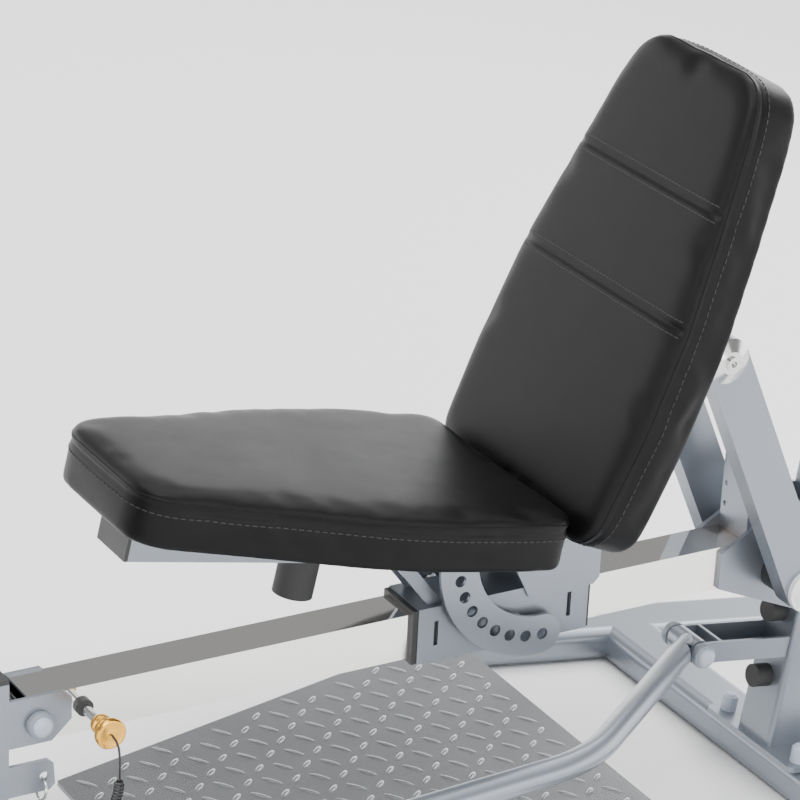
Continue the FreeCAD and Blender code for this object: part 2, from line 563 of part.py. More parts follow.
HUB = Placement(PIVOT, Rotation())
quadrant_holes = []
for number in range(8):
    angle = math.radians(size("first_hole") + number * size("hole_pitch"))
    quadrant_holes.append((size("quadrant_hole_circle") * math.cos(angle),
                           size("quadrant_hole_circle") * math.sin(angle), size("quadrant_hole_radius")))
spacers = []
for side_name, side in SIDES:
    keep(plate(f"quadrant_{side_name}", HUB, quadrant_outline(), quadrant_holes, "quadrant_thick",
               size("quadrant_y"), side), f"quadrant_{side_name}")
    low = sleeve_half if side > 0 else -size("quadrant_y")
    for number, hole in enumerate((2.5, 5.5)):
        angle = math.radians(size("first_hole") + hole * size("hole_pitch"))
        reach = size("quadrant_hole_circle") - 15
        spacers.append(rod(f"spacer_{side_name}_{number}", HUB, reach * math.cos(angle), low,
                           reach * math.sin(angle), "6", str(size("quadrant_y") - sleeve_half)))
keep(group("quadrant_spacers", spacers), "quadrant_spacers")

# Seat: its channel sits on the pivot shaft between the carriage's plates and on a front brace.
channel_half = size("channel_width") / 2
channel_top = size("seat_top") - size("seat_thick") - size("pad_gap")
channel = box_tube("seat_channel_tube", SEAT, size("channel_front"), -channel_half,
                   channel_top - size("channel_height"), "channel_rear - channel_front", "channel_width",
                   "channel_height", "channel_wall")
channel_hole = rod("seat_channel_hole", SEAT, 0, -channel_half - 5, 0, "pivot_radius", "channel_width + 10")
keep(cut("seat_channel", channel, [channel_hole]), "seat_channel")
front_cap = box("channel_cap_face", at(SEAT, size("channel_front") - 4, -channel_half, channel_top - size("channel_height")),
                "4", "channel_width", "channel_height")
front_plug = box("channel_cap_plug", at(SEAT, size("channel_front"), -channel_half + size("channel_wall") + 0.2,
                                        channel_top - size("channel_height") + size("channel_wall") + 0.2),
                 "12", "channel_width - 2 * channel_wall - 0.4", "channel_height - 2 * channel_wall - 0.4")
keep(fuse("seat_channel_cap", [front_cap, front_plug]), "seat_channel_cap")
arm_inner = size("quadrant_y") + size("quadrant_thick") + 1
arm_outer = arm_inner + size("arm_thick")
shaft_end = arm_outer + 0.4
pivot_bar = rod("pivot_bar", HUB, 0, -shaft_end, 0, "pivot_radius", str(2 * shaft_end))
pivot_heads = []
for side_name, side in SIDES:
    turn = ALONG_Y if side > 0 else Rotation(Vector(1, 0, 0), 90)
    pivot_heads.append(rod(f"pivot_head_{side_name}", HUB, 0, side * shaft_end, 0, "pivot_radius + 4", "5", turn))
keep(fuse("pivot_shaft", [pivot_bar] + pivot_heads), "pivot_shaft")
sleeve_top = size("liner_thick") + size("sleeve_wall")
channel_low = channel_top - size("channel_height")
brace_points = [RAIL.multVec(Vector(sleeve_front_u + 14, 0, sleeve_top)),
                RAIL.multVec(Vector(sleeve_front_u + 32, 0, sleeve_top)),
                SEAT.multVec(Vector(-150, 0, channel_low)), SEAT.multVec(Vector(-172, 0, channel_low))]
braces = []
for side_name, side in SIDES:
    outline = rounded([(point.x, point.z) for point in brace_points], 0)
    braces.append(plate(f"seat_brace_{side_name}", WORLD, outline, [], "side_plate_thick", 20, side))
keep(group("seat_braces", braces), "seat_braces")
buffer = rod("seat_buffer_rubber", SEAT, size("buffer_x"), 0, channel_top - size("channel_height"), "buffer_radius",
             "buffer_length", Rotation(Vector(1, 0, 0), 180))
keep(buffer, "seat_buffer")

seat_front = size("seat_rear") - size("seat_length")
seat_half_outline = [(seat_front, 96), (seat_front + 120, 121), (seat_front + 232, 146), (seat_front + 300, 155),
                     (size("seat_rear") - 60, 152), (size("seat_rear"), 146)]
seat_outline = [(x, y) for x, y in seat_half_outline] + [(x, -y) for x, y in reversed(seat_half_outline)]
seat_radii = [48, 200, 200, 150, 200, 24, 24, 200, 150, 200, 200, 48]
keep(pad("seat_pad", "XY_Plane", [rounded(seat_outline, seat_radii)], "seat_thick",
         at(SEAT, 0, 0, size("seat_top") - size("seat_thick"))), "seat_pad")

back_high = size("back_low") + size("back_length")
back_half_outline = [(size("back_low"), 152), (size("back_low") + 130, 160), (size("back_low") + 245, 155),
                     (size("back_low") + 345, 138), (size("back_low") + 445, 118), (back_high, 98)]
back_outline = [(z, y) for z, y in back_half_outline] + [(z, -y) for z, y in reversed(back_half_outline)]
back_radii = [42, 200, 200, 200, 200, 46, 46, 200, 200, 200, 200, 42]
# The pad's sketch lies in XY, so a quarter turn about Y stands it up with its thickness to the rear.
BACK_PAD = at(BACK, size("back_front"), 0, 0, Rotation(Y_AXIS, -90))
keep(pad("back_pad", "XY_Plane", [rounded(back_outline, back_radii)], "back_thick", BACK_PAD, reverse=True),
     "back_pad")

back_face = size("back_front") + size("back_thick") + size("pad_gap")
back_tube_half = size("back_tube_width") / 2
CROSS_LOW, CROSS_HIGH = 20, 50
cross_bar = box("back_cross_bar", at(BACK, back_face, -arm_inner, CROSS_LOW), "back_tube_depth",
                str(2 * arm_inner), str(CROSS_HIGH - CROSS_LOW))
keep(cross_bar, "back_cross_bar")
back_bar = box("back_tube_bar", at(BACK, back_face, -back_tube_half, CROSS_HIGH), "back_tube_depth",
               "back_tube_width", "350")
back_core = box("back_tube_core", at(BACK, back_face + 3, -back_tube_half + 3, CROSS_HIGH - 1),
                "back_tube_depth - 6", "back_tube_width - 6", "352")
keep(cut("back_tube", back_bar, [back_core]), "back_tube")
top_local = BACK.inverse().multVec(TOP_AXIS)
bracket_back = back_face + size("back_tube_depth")
bracket_points = [(bracket_back - 16, top_local.z - 60), (bracket_back + 12, top_local.z - 60),
                  (top_local.x + 20, top_local.z - 14), (top_local.x + 20, top_local.z + 14),
                  (bracket_back + 12, top_local.z + 60), (bracket_back - 16, top_local.z + 60)]
back_brackets = []
for side_name, side in SIDES:
    back_brackets.append(plate(f"back_bracket_{side_name}", BACK, rounded(bracket_points, [0, 8, 12, 12, 8, 0]),
               [(top_local.x, top_local.z, size("top_shaft_radius") + size("open_pivot_gap"))],
               "bracket_thick", back_tube_half, side))
keep(group("back_brackets", back_brackets), "back_brackets")

# Hinge arms: plates on the pivot shaft that carry the back's cross bar. The right one reaches down
# to the quadrant as well and holds the pull pin.
lock_angle = math.radians(size("first_hole") + 3 * size("hole_pitch"))
lock_x = size("quadrant_hole_circle") * math.cos(lock_angle)
lock_z = size("quadrant_hole_circle") * math.sin(lock_angle)
LOCK = Placement(PIVOT, Rotation(Y_AXIS, -math.degrees(lock_angle)))


def tapered_link(run, first_radius, second_radius):
    """Return the outline of a plate about two round ends, the first at the origin."""
    slope = math.asin((first_radius - second_radius) / run)
    lean_x, lean_y = math.sin(slope), math.cos(slope)
    low = Vector(first_radius * lean_x, -first_radius * lean_y, 0)
    low_far = Vector(run + second_radius * lean_x, -second_radius * lean_y, 0)
    high_far = Vector(run + second_radius * lean_x, second_radius * lean_y, 0)
    high = Vector(first_radius * lean_x, first_radius * lean_y, 0)
    return [Part.LineSegment(low, low_far), Part.Arc(low_far, Vector(run + second_radius, 0, 0), high_far),
            Part.LineSegment(high_far, high), Part.Arc(high, Vector(-first_radius, 0, 0), low)]


arm_top_x = back_face + size("back_tube_depth") - size("arm_end_radius") - 0.5
arm_top_z = CROSS_LOW + 2
arm_tilt = math.degrees(math.atan2(arm_top_z, arm_top_x))
ARM = at(BACK, 0, 0, 0, Rotation(Y_AXIS, -arm_tilt))
arm_bore = (0, 0, size("pivot_radius") + size("running_gap"))
arm_pieces = {}
for side_name, side in SIDES:
    outline = tapered_link(math.hypot(arm_top_x, arm_top_z), 17, size("arm_end_radius"))
    arm_pieces[side_name] = plate(f"arm_{side_name}", ARM, outline, [arm_bore], "arm_thick", arm_inner, side)
keep(arm_pieces["left"], "hinge_arm_left")
lock_plate = plate("lock_plate", LOCK, tapered_link(size("quadrant_hole_circle"), 17, 15),
                   [arm_bore, (size("quadrant_hole_circle"), 0, 6 + size("running_gap"))], "arm_thick", arm_inner, 1)
keep(fuse("hinge_arm_right", [arm_pieces["right"], lock_plate]), "hinge_arm_right")
keep(rod("lock_pin_rod", HUB, lock_x, size("quadrant_y") + size("quadrant_thick") + 0.5, lock_z, "6", "24"), "lock_pin")
knob_start = size("quadrant_y") + size("quadrant_thick") + 24.5
knob = rod("lock_knob_grip", HUB, lock_x, knob_start, lock_z, "15", "22")
keep(knob, "lock_knob")

# Side lever on a bracket ahead of the column.
bracket_x = size("lever_bracket_front_x")
bracket_half = size("lever_bracket_width") / 2
tray = box("lever_tray", Placement(Vector(bracket_x, -bracket_half, size("lever_bracket_top") - size("lever_bracket_height")),
                                   Rotation()), "column_front_x - lever_bracket_front_x", "lever_bracket_width",
           "lever_bracket_height")
tray_hollow = box("lever_tray_hollow", Placement(Vector(bracket_x + 4, -bracket_half + 4,
                                                        size("lever_bracket_top") - size("lever_bracket_height") + 4),
                                                 Rotation()), "column_front_x - lever_bracket_front_x",
                  "lever_bracket_width - 8", "lever_bracket_height")
ears = []
for side_name, side in SIDES:
    ear_outline = rounded([(size("lever_x") - 12, size("lever_z") - 12), (bracket_x + 2, size("lever_z") - 11),
                           (bracket_x + 2, size("lever_z") + 13), (size("lever_x") - 12, size("lever_z") + 12)],
                          [11, 0, 0, 11])
    ears.append(plate(f"lever_ear_{side_name}", WORLD, ear_outline, [], "ear_thick", size("ear_y"), side))
ear_bore = rod("lever_ear_bore", WORLD, size("lever_x"), -40, size("lever_z"), "5 + running_gap", "80")
tray_cut = cut("lever_tray_open", tray, [tray_hollow])
keep(cut("lever_bracket", fuse("lever_bracket_whole", [tray_cut] + ears), [ear_bore]), "lever_bracket")
ear_outer = size("ear_y") + size("ear_thick")
bolts.append(rod("lever_bolt", WORLD, size("lever_x"), -ear_outer, size("lever_z"), "5",
                 "2 * (ear_y + ear_thick)"))
keep(group("through_bolts", bolts), "through_bolts")
bolt_caps += nut_caps("lever_cap", WORLD, size("lever_x"), size("lever_z"), ear_outer, "14", 15)
keep(group("bolt_caps", bolt_caps), "bolt_caps")


def swept_tube(name, points, radii, outer, inner=0.0):
    """Add a round tube along straight runs joined by tangent arcs."""
    edges = []
    start = points[0]
    for index in range(1, len(points) - 1):
        corner = points[index]
        before = (points[index - 1] - corner).normalize()
        after = (points[index + 1] - corner).normalize()
        half_angle = before.getAngle(after) / 2
        radius = radii[index - 1]
        reach = radius / math.tan(half_angle)
        inward = (before + after).normalize()
        middle = corner + inward * (radius / math.sin(half_angle) - radius)
        entry = corner + before * reach
        leave = corner + after * reach
        edges.append(Part.LineSegment(start, entry).toShape())
        edges.append(Part.Arc(entry, middle, leave).toShape())
        start = leave
    edges.append(Part.LineSegment(start, points[-1]).toShape())
    path = Part.Wire(edges)
    direction = (points[1] - points[0]).normalize()

    def sweep(radius):
        ring = Part.Wire([Part.Circle(points[0], direction, radius).toShape()])
        return path.makePipeShell([ring], True, True)

    solid = sweep(outer)
    if inner > 0:
        solid = solid.cut(sweep(inner))
    item = doc.addObject("Part::Feature", name)
    item.Shape = solid
    expected = math.pi * (outer ** 2 - inner ** 2) * path.Length
    print(f"{name}: radii {[round(r) for r in radii]}, volume / section x length = {solid.Volume / expected:.4f}")
    return item


hub_half = size("ear_y") - 0.3
bend = Vector(size("lever_bend_x"), size("lever_bend_y"), size("lever_z"))
lever_start = Vector(size("lever_x"), 0, size("lever_z"))
lever_end = Vector(size("lever_end_x"), size("lever_end_y"), size("lever_z"))
lever_run = swept_tube("lever_run", [lever_start, bend, lever_end], [size("lever_bend_radius")],
                       size("lever_radius"), size("lever_radius") - size("lever_wall"))
hub = rod("lever_hub", WORLD, size("lever_x"), -hub_half, size("lever_z"), "lever_radius", str(2 * hub_half))
room = primitive("Cylinder", "lever_room", Placement(Vector(size("lever_x"), -60, size("lever_z")), ALONG_Y),
                 {"Radius": "5 + running_gap", "Height": "120"})
trims = []
for side_name, side in SIDES:
    low = hub_half if side > 0 else -hub_half - 60
    trims.append(box(f"lever_trim_{side_name}", Placement(Vector(size("lever_x") - 22, low, size("lever_z") - 30),
                                                          Rotation()), "60", "60", "60"))
keep(cut("side_lever", fuse("side_lever_whole", [hub, lever_run]), trims + [room]), "side_lever")
forward = (lever_end - bend).normalize()
grip_turn = Rotation(Vector(0, 0, 1), forward)
grip_start = lever_end - forward * size("grip_length")
grip_sleeve = primitive("Cylinder", "grip_sleeve", Placement(grip_start, grip_turn),
                        {"Radius": "lever_radius + 4", "Height": "grip_length + 4"})
grip_bore = primitive("Cylinder", "grip_bore", Placement(grip_start - forward, grip_turn),
                      {"Radius": "lever_radius", "Height": "grip_length + 1"})
keep(cut("lever_grip", grip_sleeve, [grip_bore]), "lever_grip")

# Stop pin with its knob, bush, and the lanyard that keeps it on the front post.
keep(rod("stop_pin_bar", RAIL, size("pin_u"), -62, size("pin_v"), "pin_radius", "62 + rail_size / 2 + 4"), "stop_pin")
neck = rod("stop_knob_neck", RAIL, size("pin_u"), -80, size("pin_v"), "knob_neck_radius", "18")
disc = rod("stop_knob_disc", RAIL, size("pin_u"), size("knob_face_y"), size("pin_v"), "knob_radius", "8")
waist = primitive("Cone", "stop_knob_waist", at(RAIL, size("pin_u"), size("knob_face_y") + 7, size("pin_v"), ALONG_Y),
                  {"Radius1": "knob_radius - 3", "Radius2": "knob_neck_radius - 3", "Height": "8"})
keep(fuse("stop_knob", [neck, waist, disc]), "stop_knob")
bush = rod("stop_bush_ring", RAIL, size("pin_u"), -rail_half - 5, size("pin_v"), "9", "5")
bush_bore = rod("stop_bush_bore", RAIL, size("pin_u"), -rail_half - 6, size("pin_v"), "pin_radius + running_gap", "7")
keep(cut("stop_pin_bush", bush, [bush_bore]), "stop_pin_bush")

clip_u = -size("rail_length") - size("post_gap")
clip_points = [(clip_u, -70), (clip_u + 42, -70), (clip_u + 48, -75), (clip_u + 50, -98), (clip_u + 44, -104),
               (clip_u, -104)]
CLIP_HOLE = (clip_u + 38, -88)
CLIP_RADIUS = 5
clip = plate("clip_plate", RAIL, rounded(clip_points, 0), [(CLIP_HOLE[0], CLIP_HOLE[1], CLIP_RADIUS)], "gusset_thick",
             rail_half, -1)
keep(clip, "clip_bracket")
ring_centre = RAIL.multVec(Vector(CLIP_HOLE[0], -rail_half - size("gusset_thick") / 2, CLIP_HOLE[1]))
ring_drop = CLIP_RADIUS - size("ring_wire") - 0.3
ring_centre = ring_centre - Vector(0, 0, size("ring_radius") + ring_drop)
ring = primitive("Torus", "clip_ring_wire", Placement(ring_centre, ALONG_X),
                 {"Radius1": "ring_radius", "Radius2": "ring_wire"})
keep(ring, "clip_ring")

knob_face = RAIL.multVec(Vector(size("pin_u"), size("knob_face_y"), size("pin_v")))
coil_top = knob_face + Vector(6, -17, -38)


def soft_radii(points):
    """Return the largest even radii that the runs of a route allow."""
    radii = []
    for index in range(1, len(points) - 1):
        before = points[index - 1] - points[index]
        after = points[index + 1] - points[index]
        turn = math.pi - before.getAngle(after)
        radii.append(0.45 * min(before.Length, after.Length) / math.tan(turn / 2))
    return radii


cord_route = [knob_face, knob_face + Vector(0.3, -11, -0.6), knob_face + Vector(2.4, -17.4, -13), coil_top]
keep(swept_tube("lanyard_cord_run", cord_route, soft_radii(cord_route), size("cord_radius")), "lanyard_cord")
ring_low = ring_centre - Vector(0, 0, size("ring_radius") + size("ring_wire"))
coil_route = [coil_top, coil_top + (coil_top - cord_route[2]) * 1.2, coil_top + Vector(-16, 17, -58),
              Vector(ring_low.x + 14, ring_low.y - 30, 49), Vector(ring_low.x + 2, ring_low.y - 6, 46),
              ring_low + Vector(0, 0, -size("coil_radius"))]
keep(swept_tube("lanyard_coil_run", coil_route[:5], soft_radii(coil_route[:5]), size("coil_radius")), "lanyard_coil")

doc.recompute()


def check(item):
    """Stop on an object that failed to build."""
    if "Invalid" in item.State or "Error" in item.State:
        raise RuntimeError(f"{item.Name} failed: {item.State}")


for item in doc.Objects:
    check(item)
os.makedirs("parts", exist_ok=True)
for item in PARTS:
    shape = item.Shape
    if shape.isNull() or not shape.isValid() or not shape.Solids:
        raise RuntimeError(f"{item.Label} has no valid shape")
for item in PARTS:
    item.Shape.exportStep(f"parts/{item.Label}.step")
print(f"{len(PARTS)} sub-parts; pivot {PIVOT}; strut axis {STRUT_AXIS}; top axis {TOP_AXIS}; post {post_top}")
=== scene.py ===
"""Leg press machine: finishes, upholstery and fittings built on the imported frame."""
import json
import logging
import math
from dataclasses import dataclass, field
from enum import Enum
from typing import Any, Sequence

import bpy
from mathutils import Matrix, Vector
from mathutils.bvhtree import BVHTree

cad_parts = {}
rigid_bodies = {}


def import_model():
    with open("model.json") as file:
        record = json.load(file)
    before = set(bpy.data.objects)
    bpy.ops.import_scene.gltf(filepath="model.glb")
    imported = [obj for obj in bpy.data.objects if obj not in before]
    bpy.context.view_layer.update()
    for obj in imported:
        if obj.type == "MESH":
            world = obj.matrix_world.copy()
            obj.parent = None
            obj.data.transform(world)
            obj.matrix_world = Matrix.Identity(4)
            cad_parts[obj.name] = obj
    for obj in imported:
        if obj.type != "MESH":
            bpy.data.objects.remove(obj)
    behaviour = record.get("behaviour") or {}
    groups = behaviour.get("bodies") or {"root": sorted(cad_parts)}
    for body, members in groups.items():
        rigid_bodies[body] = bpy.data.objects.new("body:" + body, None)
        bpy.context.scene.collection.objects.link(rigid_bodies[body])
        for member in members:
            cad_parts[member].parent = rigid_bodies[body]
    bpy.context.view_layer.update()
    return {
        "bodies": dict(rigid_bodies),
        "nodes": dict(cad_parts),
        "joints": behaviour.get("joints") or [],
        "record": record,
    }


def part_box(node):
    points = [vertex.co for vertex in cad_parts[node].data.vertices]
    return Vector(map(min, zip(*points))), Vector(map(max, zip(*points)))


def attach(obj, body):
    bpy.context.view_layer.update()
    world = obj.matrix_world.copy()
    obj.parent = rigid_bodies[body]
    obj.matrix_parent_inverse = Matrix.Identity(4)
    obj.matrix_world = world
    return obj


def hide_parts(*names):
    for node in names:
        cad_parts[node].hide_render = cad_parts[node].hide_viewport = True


LOG = logging.getLogger("leg_press")
MM = 0.001
ARC_STEPS = 12


class Body(str, Enum):
    """The bodies of the frame that new pieces ride on."""

    FRAME = "frame"
    CARRIAGE = "carriage"
    BACKREST = "backrest"
    LEVER = "side_lever_body"
    STOP_PIN = "stop_pin_body"
    LOCK_PIN = "lock_pin_body"


class Maths:
    """A shader value that takes part in Python expressions."""

    def __init__(self, shop: "Shader", socket: Any) -> None:
        """Keep the shader and the output socket."""
        self.shop = shop
        self.socket = socket

    def _op(self, operation: str, *others: Any) -> "Maths":
        """Add one Math node to the expression.

        Args:
            operation: the Math node's operation.
            others: the other operands, values or numbers.

        Returns:
            The result as a value.
        """
        operands = [self, *others]
        node = self.shop.tree.nodes.new("ShaderNodeMath")
        node.operation = operation
        for index, operand in enumerate(operands):
            self.shop.feed(node.inputs[index], operand)
        return Maths(self.shop, node.outputs[0])

    def __add__(self, other: Any) -> "Maths":
        """Return the sum."""
        return self._op("ADD", other)

    __radd__ = __add__

    def __sub__(self, other: Any) -> "Maths":
        """Return the difference."""
        return self._op("SUBTRACT", other)

    def __rsub__(self, other: Any) -> "Maths":
        """Return the reflected difference."""
        return (self * -1.0) + other

    def __mul__(self, other: Any) -> "Maths":
        """Return the product."""
        return self._op("MULTIPLY", other)

    __rmul__ = __mul__

    def __truediv__(self, other: Any) -> "Maths":
        """Return the quotient."""
        return self._op("DIVIDE", other)

    def power(self, other: Any) -> "Maths":
        """Return the value raised to a power."""
        return self._op("POWER", other)

    def clamp(self) -> "Maths":
        """Return the value limited to 0 and 1."""
        return self._op("MAXIMUM", 0.0)._op("MINIMUM", 1.0)


class Shader:
    """A material's node tree, with one method that adds any node."""

    def __init__(self, name: str) -> None:
        """Start a material with only a Principled surface.

        Args:
            name: the material's name.
        """
        self.material = bpy.data.materials.new(name)
        self.material.use_nodes = True
        self.tree = self.material.node_tree
        self.surface = self.tree.nodes["Principled BSDF"]

    def feed(self, socket: Any, value: Any) -> None:
        """Link a value to a socket, or set it there.

        Args:
            socket: the input that takes the value.
            value: a shader value, an output socket, or a plain value.
        """
        if isinstance(value, Maths):
            self.tree.links.new(value.socket, socket)
        elif isinstance(value, bpy.types.NodeSocket):
            self.tree.links.new(value, socket)
        else:
            socket.default_value = value

    def node(self, kind: str, settings: dict[str, Any] | None = None, out: int | str = 0,
             **sockets: Any) -> Maths:
        """Add a node.

        Args:
            kind: the node's type without the ShaderNode prefix.
            settings: attributes set before the sockets.
            out: the output to return.
            sockets: input values by name, with underscores for spaces.

        Returns:
            The chosen output.
        """
        made = self.tree.nodes.new("ShaderNode" + kind)
        for key, value in (settings or {}).items():
            setattr(made, key, value)
        for key, value in sockets.items():
            self.feed(made.inputs[key.replace("_", " ")], value)
        return Maths(self, made.outputs[out])

    def place(self) -> Maths:
        """Return the Object coordinates."""
        return self.node("TexCoord", out="Object")

    def axis(self, name: str) -> Maths:
        """Return one of the Object coordinates."""
        return self.node("SeparateXYZ", out=name, Vector=self.place())

    def noise(self, scale: float, detail: float = 3.0) -> Maths:
        """Return a noise value."""
        return self.node("TexNoise", out="Fac", Vector=self.place(), Scale=scale, Detail=detail)

    def blend(self, factor: Maths, low: Sequence[float], high: Sequence[float]) -> Maths:
        """Mix two colours.

        Args:
            factor: 0 for the low colour and 1 for the high one.
            low: the first colour.
            high: the second colour.

        Returns:
            The mixed colour.
        """
        mixed = self.tree.nodes.new("ShaderNodeMix")
        mixed.data_type = "RGBA"
        self.feed(mixed.inputs[0], factor)
        mixed.inputs[6].default_value = (*low, 1.0)
        mixed.inputs[7].default_value = (*high, 1.0)
        return Maths(self, mixed.outputs[2])

    def bump(self, height: Maths, strength: float, distance: float) -> None:
        """Drive the surface's normal by a height."""
        result = self.node("Bump", out="Normal", Height=height, Strength=strength, Distance=distance)
        self.feed(self.surface.inputs["Normal"], result)

    def set(self, **values: Any) -> None:
        """Set or link the surface's sockets, with underscores for spaces."""
        for key, value in values.items():
            self.feed(self.surface.inputs[key.replace("_", " ")], value)


@dataclass(frozen=True)
class Paint:
    """Metallic powder paint with a fine orange peel."""

    name: str
    dark: tuple[float, float, float]
    light: tuple[float, float, float]
    roughness: float = 0.34
    metallic: float = 0.75
    coat: float = 0.3

    def build(self) -> bpy.types.Material:
        """Build the paint's shader.

        Returns:
            The material.
        """
        shader = Shader(self.name)
        cloud = shader.noise(9.0)
        flake = shader.noise(1400.0, 1.0)
        shade = (cloud * 0.55 + flake * 0.45).clamp()
        shader.set(Base_Color=shader.blend(shade, self.dark, self.light), Metallic=self.metallic,
                   Roughness=(cloud * 0.08 + flake * 0.06 + (self.roughness - 0.07)), Coat_Weight=self.coat)
        shader.surface.inputs["Coat Roughness"].default_value = 0.18
        shader.bump(shader.noise(420.0, 2.0), 0.10, 0.0004)
        return shader.material


@dataclass(frozen=True)
class ChromeRail:
    """Bright chrome with faint polishing marks and a heat tint at the weld."""

    name: str
    tint_start: float
    tint_end: float

    def build(self) -> bpy.types.Material:
        """Build the chrome's shader.

        Returns:
            The material.
        """
        shader = Shader(self.name)
        along = shader.axis("X")
        heat = ((along - self.tint_start) / (self.tint_end - self.tint_start)).clamp()
        heat = (heat * (shader.noise(60.0) + 0.4)).clamp()
        shader.set(Base_Color=shader.blend(heat.power(1.6), (0.90, 0.89, 0.86), (0.42, 0.27, 0.16)),
                   Metallic=1.0, Roughness=shader.noise(30.0) * 0.05 + 0.035 + heat * 0.12)
        shader.bump(shader.noise(12.0, 1.0), 0.04, 0.001)
        return shader.material


@dataclass(frozen=True)
class Vinyl:
    """Black upholstery vinyl with a fine pebble grain."""

    name: str
    grain: float = 780.0

    def build(self) -> bpy.types.Material:
        """Build the vinyl's shader.

        Returns:
            The material.
        """
        shader = Shader(self.name)
        cells = shader.node("TexVoronoi", {"feature": "DISTANCE_TO_EDGE"}, out="Distance",
                            Vector=shader.place(), Scale=self.grain)
        pores = (cells * 9.0).clamp()
        cloud = shader.noise(14.0)
        creases = shader.noise(38.0, 5.0)
        shader.set(Base_Color=shader.blend(cloud, (0.002, 0.002, 0.0023), (0.004, 0.004, 0.0045)),
                   Roughness=cloud * 0.10 + creases * 0.08 + 0.30 - pores * 0.03)
        shader.surface.inputs["Specular IOR Level"].default_value = 0.14
        shader.bump(pores * 0.6 + creases * 0.9, 0.22, 0.0005)
        return shader.material


@dataclass(frozen=True)
class Moulded:
    """Moulded plastic or rubber with a spark-eroded texture."""

    name: str
    color: tuple[float, float, float]
    roughness: float
    texture: float = 900.0
    depth: float = 0.12
    coat: float = 0.0

    def build(self) -> bpy.types.Material:
        """Build the plastic's shader.

        Returns:
            The material.
        """
        shader = Shader(self.name)
        cloud = shader.noise(22.0)
        light = tuple(min(1.0, part * 1.18 + 0.002) for part in self.color)
        shader.set(Base_Color=shader.blend(cloud, self.color, light),
                   Roughness=cloud * 0.12 + self.roughness - 0.05, Coat_Weight=self.coat)
        shader.bump(shader.noise(self.texture, 2.0), self.depth, 0.0003)
        return shader.material


@dataclass(frozen=True)
class Metal:
    """Bare or anodised metal with turning marks."""

    name: str
    color: tuple[float, float, float]
    roughness: float = 0.22
    marks: float = 500.0

    def build(self) -> bpy.types.Material:
        """Build the metal's shader.

        Returns:
            The material.
        """
        shader = Shader(self.name)
        streaks = shader.noise(self.marks, 1.0)
        dark = tuple(part * 0.82 for part in self.color)
        shader.set(Base_Color=shader.blend(streaks, dark, self.color), Metallic=1.0,
                   Roughness=streaks * 0.12 + self.roughness - 0.05)
        shader.bump(streaks, 0.06, 0.0003)
        return shader.material


SILVER = (0.27, 0.295, 0.335)


@dataclass
class Finishes:
    """Every finish of the machine, built once."""

    made: dict[str, bpy.types.Material] = field(default_factory=dict)

    def build(self) -> None:
        """Build the finishes, keyed by name."""
        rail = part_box("rail")
        choices = [
            Paint("silver_paint", tuple(part * 0.86 for part in SILVER), SILVER),
            Paint("tread_gloss", (0.15, 0.16, 0.17), (0.21, 0.22, 0.23), 0.24, 0.55, 0.6),
            ChromeRail("chrome", rail[1][0] - 0.06, rail[1][0]),
            Metal("plated_steel", (0.74, 0.74, 0.73), 0.16),
            Metal("gold_anodised", (0.95, 0.50, 0.09), 0.22, 800.0),
            Vinyl("vinyl"),
            Moulded("thread", (0.012, 0.012, 0.013), 0.62, 1800.0, 0.3),
            Moulded("rubber", (0.018, 0.018, 0.018), 0.66, 700.0, 0.3),
            Moulded("black_plastic", (0.016, 0.016, 0.017), 0.42),
            Moulded("cap_ring", (0.20, 0.225, 0.26), 0.38),
            Moulded("cap_dome", (0.36, 0.40, 0.47), 0.30, coat=0.2),
            Moulded("white_cap", (0.72, 0.73, 0.74), 0.28, coat=0.3),
            Moulded("cord_sheath", (0.012, 0.012, 0.013), 0.34, 600.0, 0.1),
        ]
        for choice in choices:
            self.made[choice.name] = choice.build()

    def wear(self, piece: bpy.types.Object, name: str) -> None:
        """Give a piece one finish."""
        piece.data.materials.clear()
        piece.data.materials.append(self.made[name])


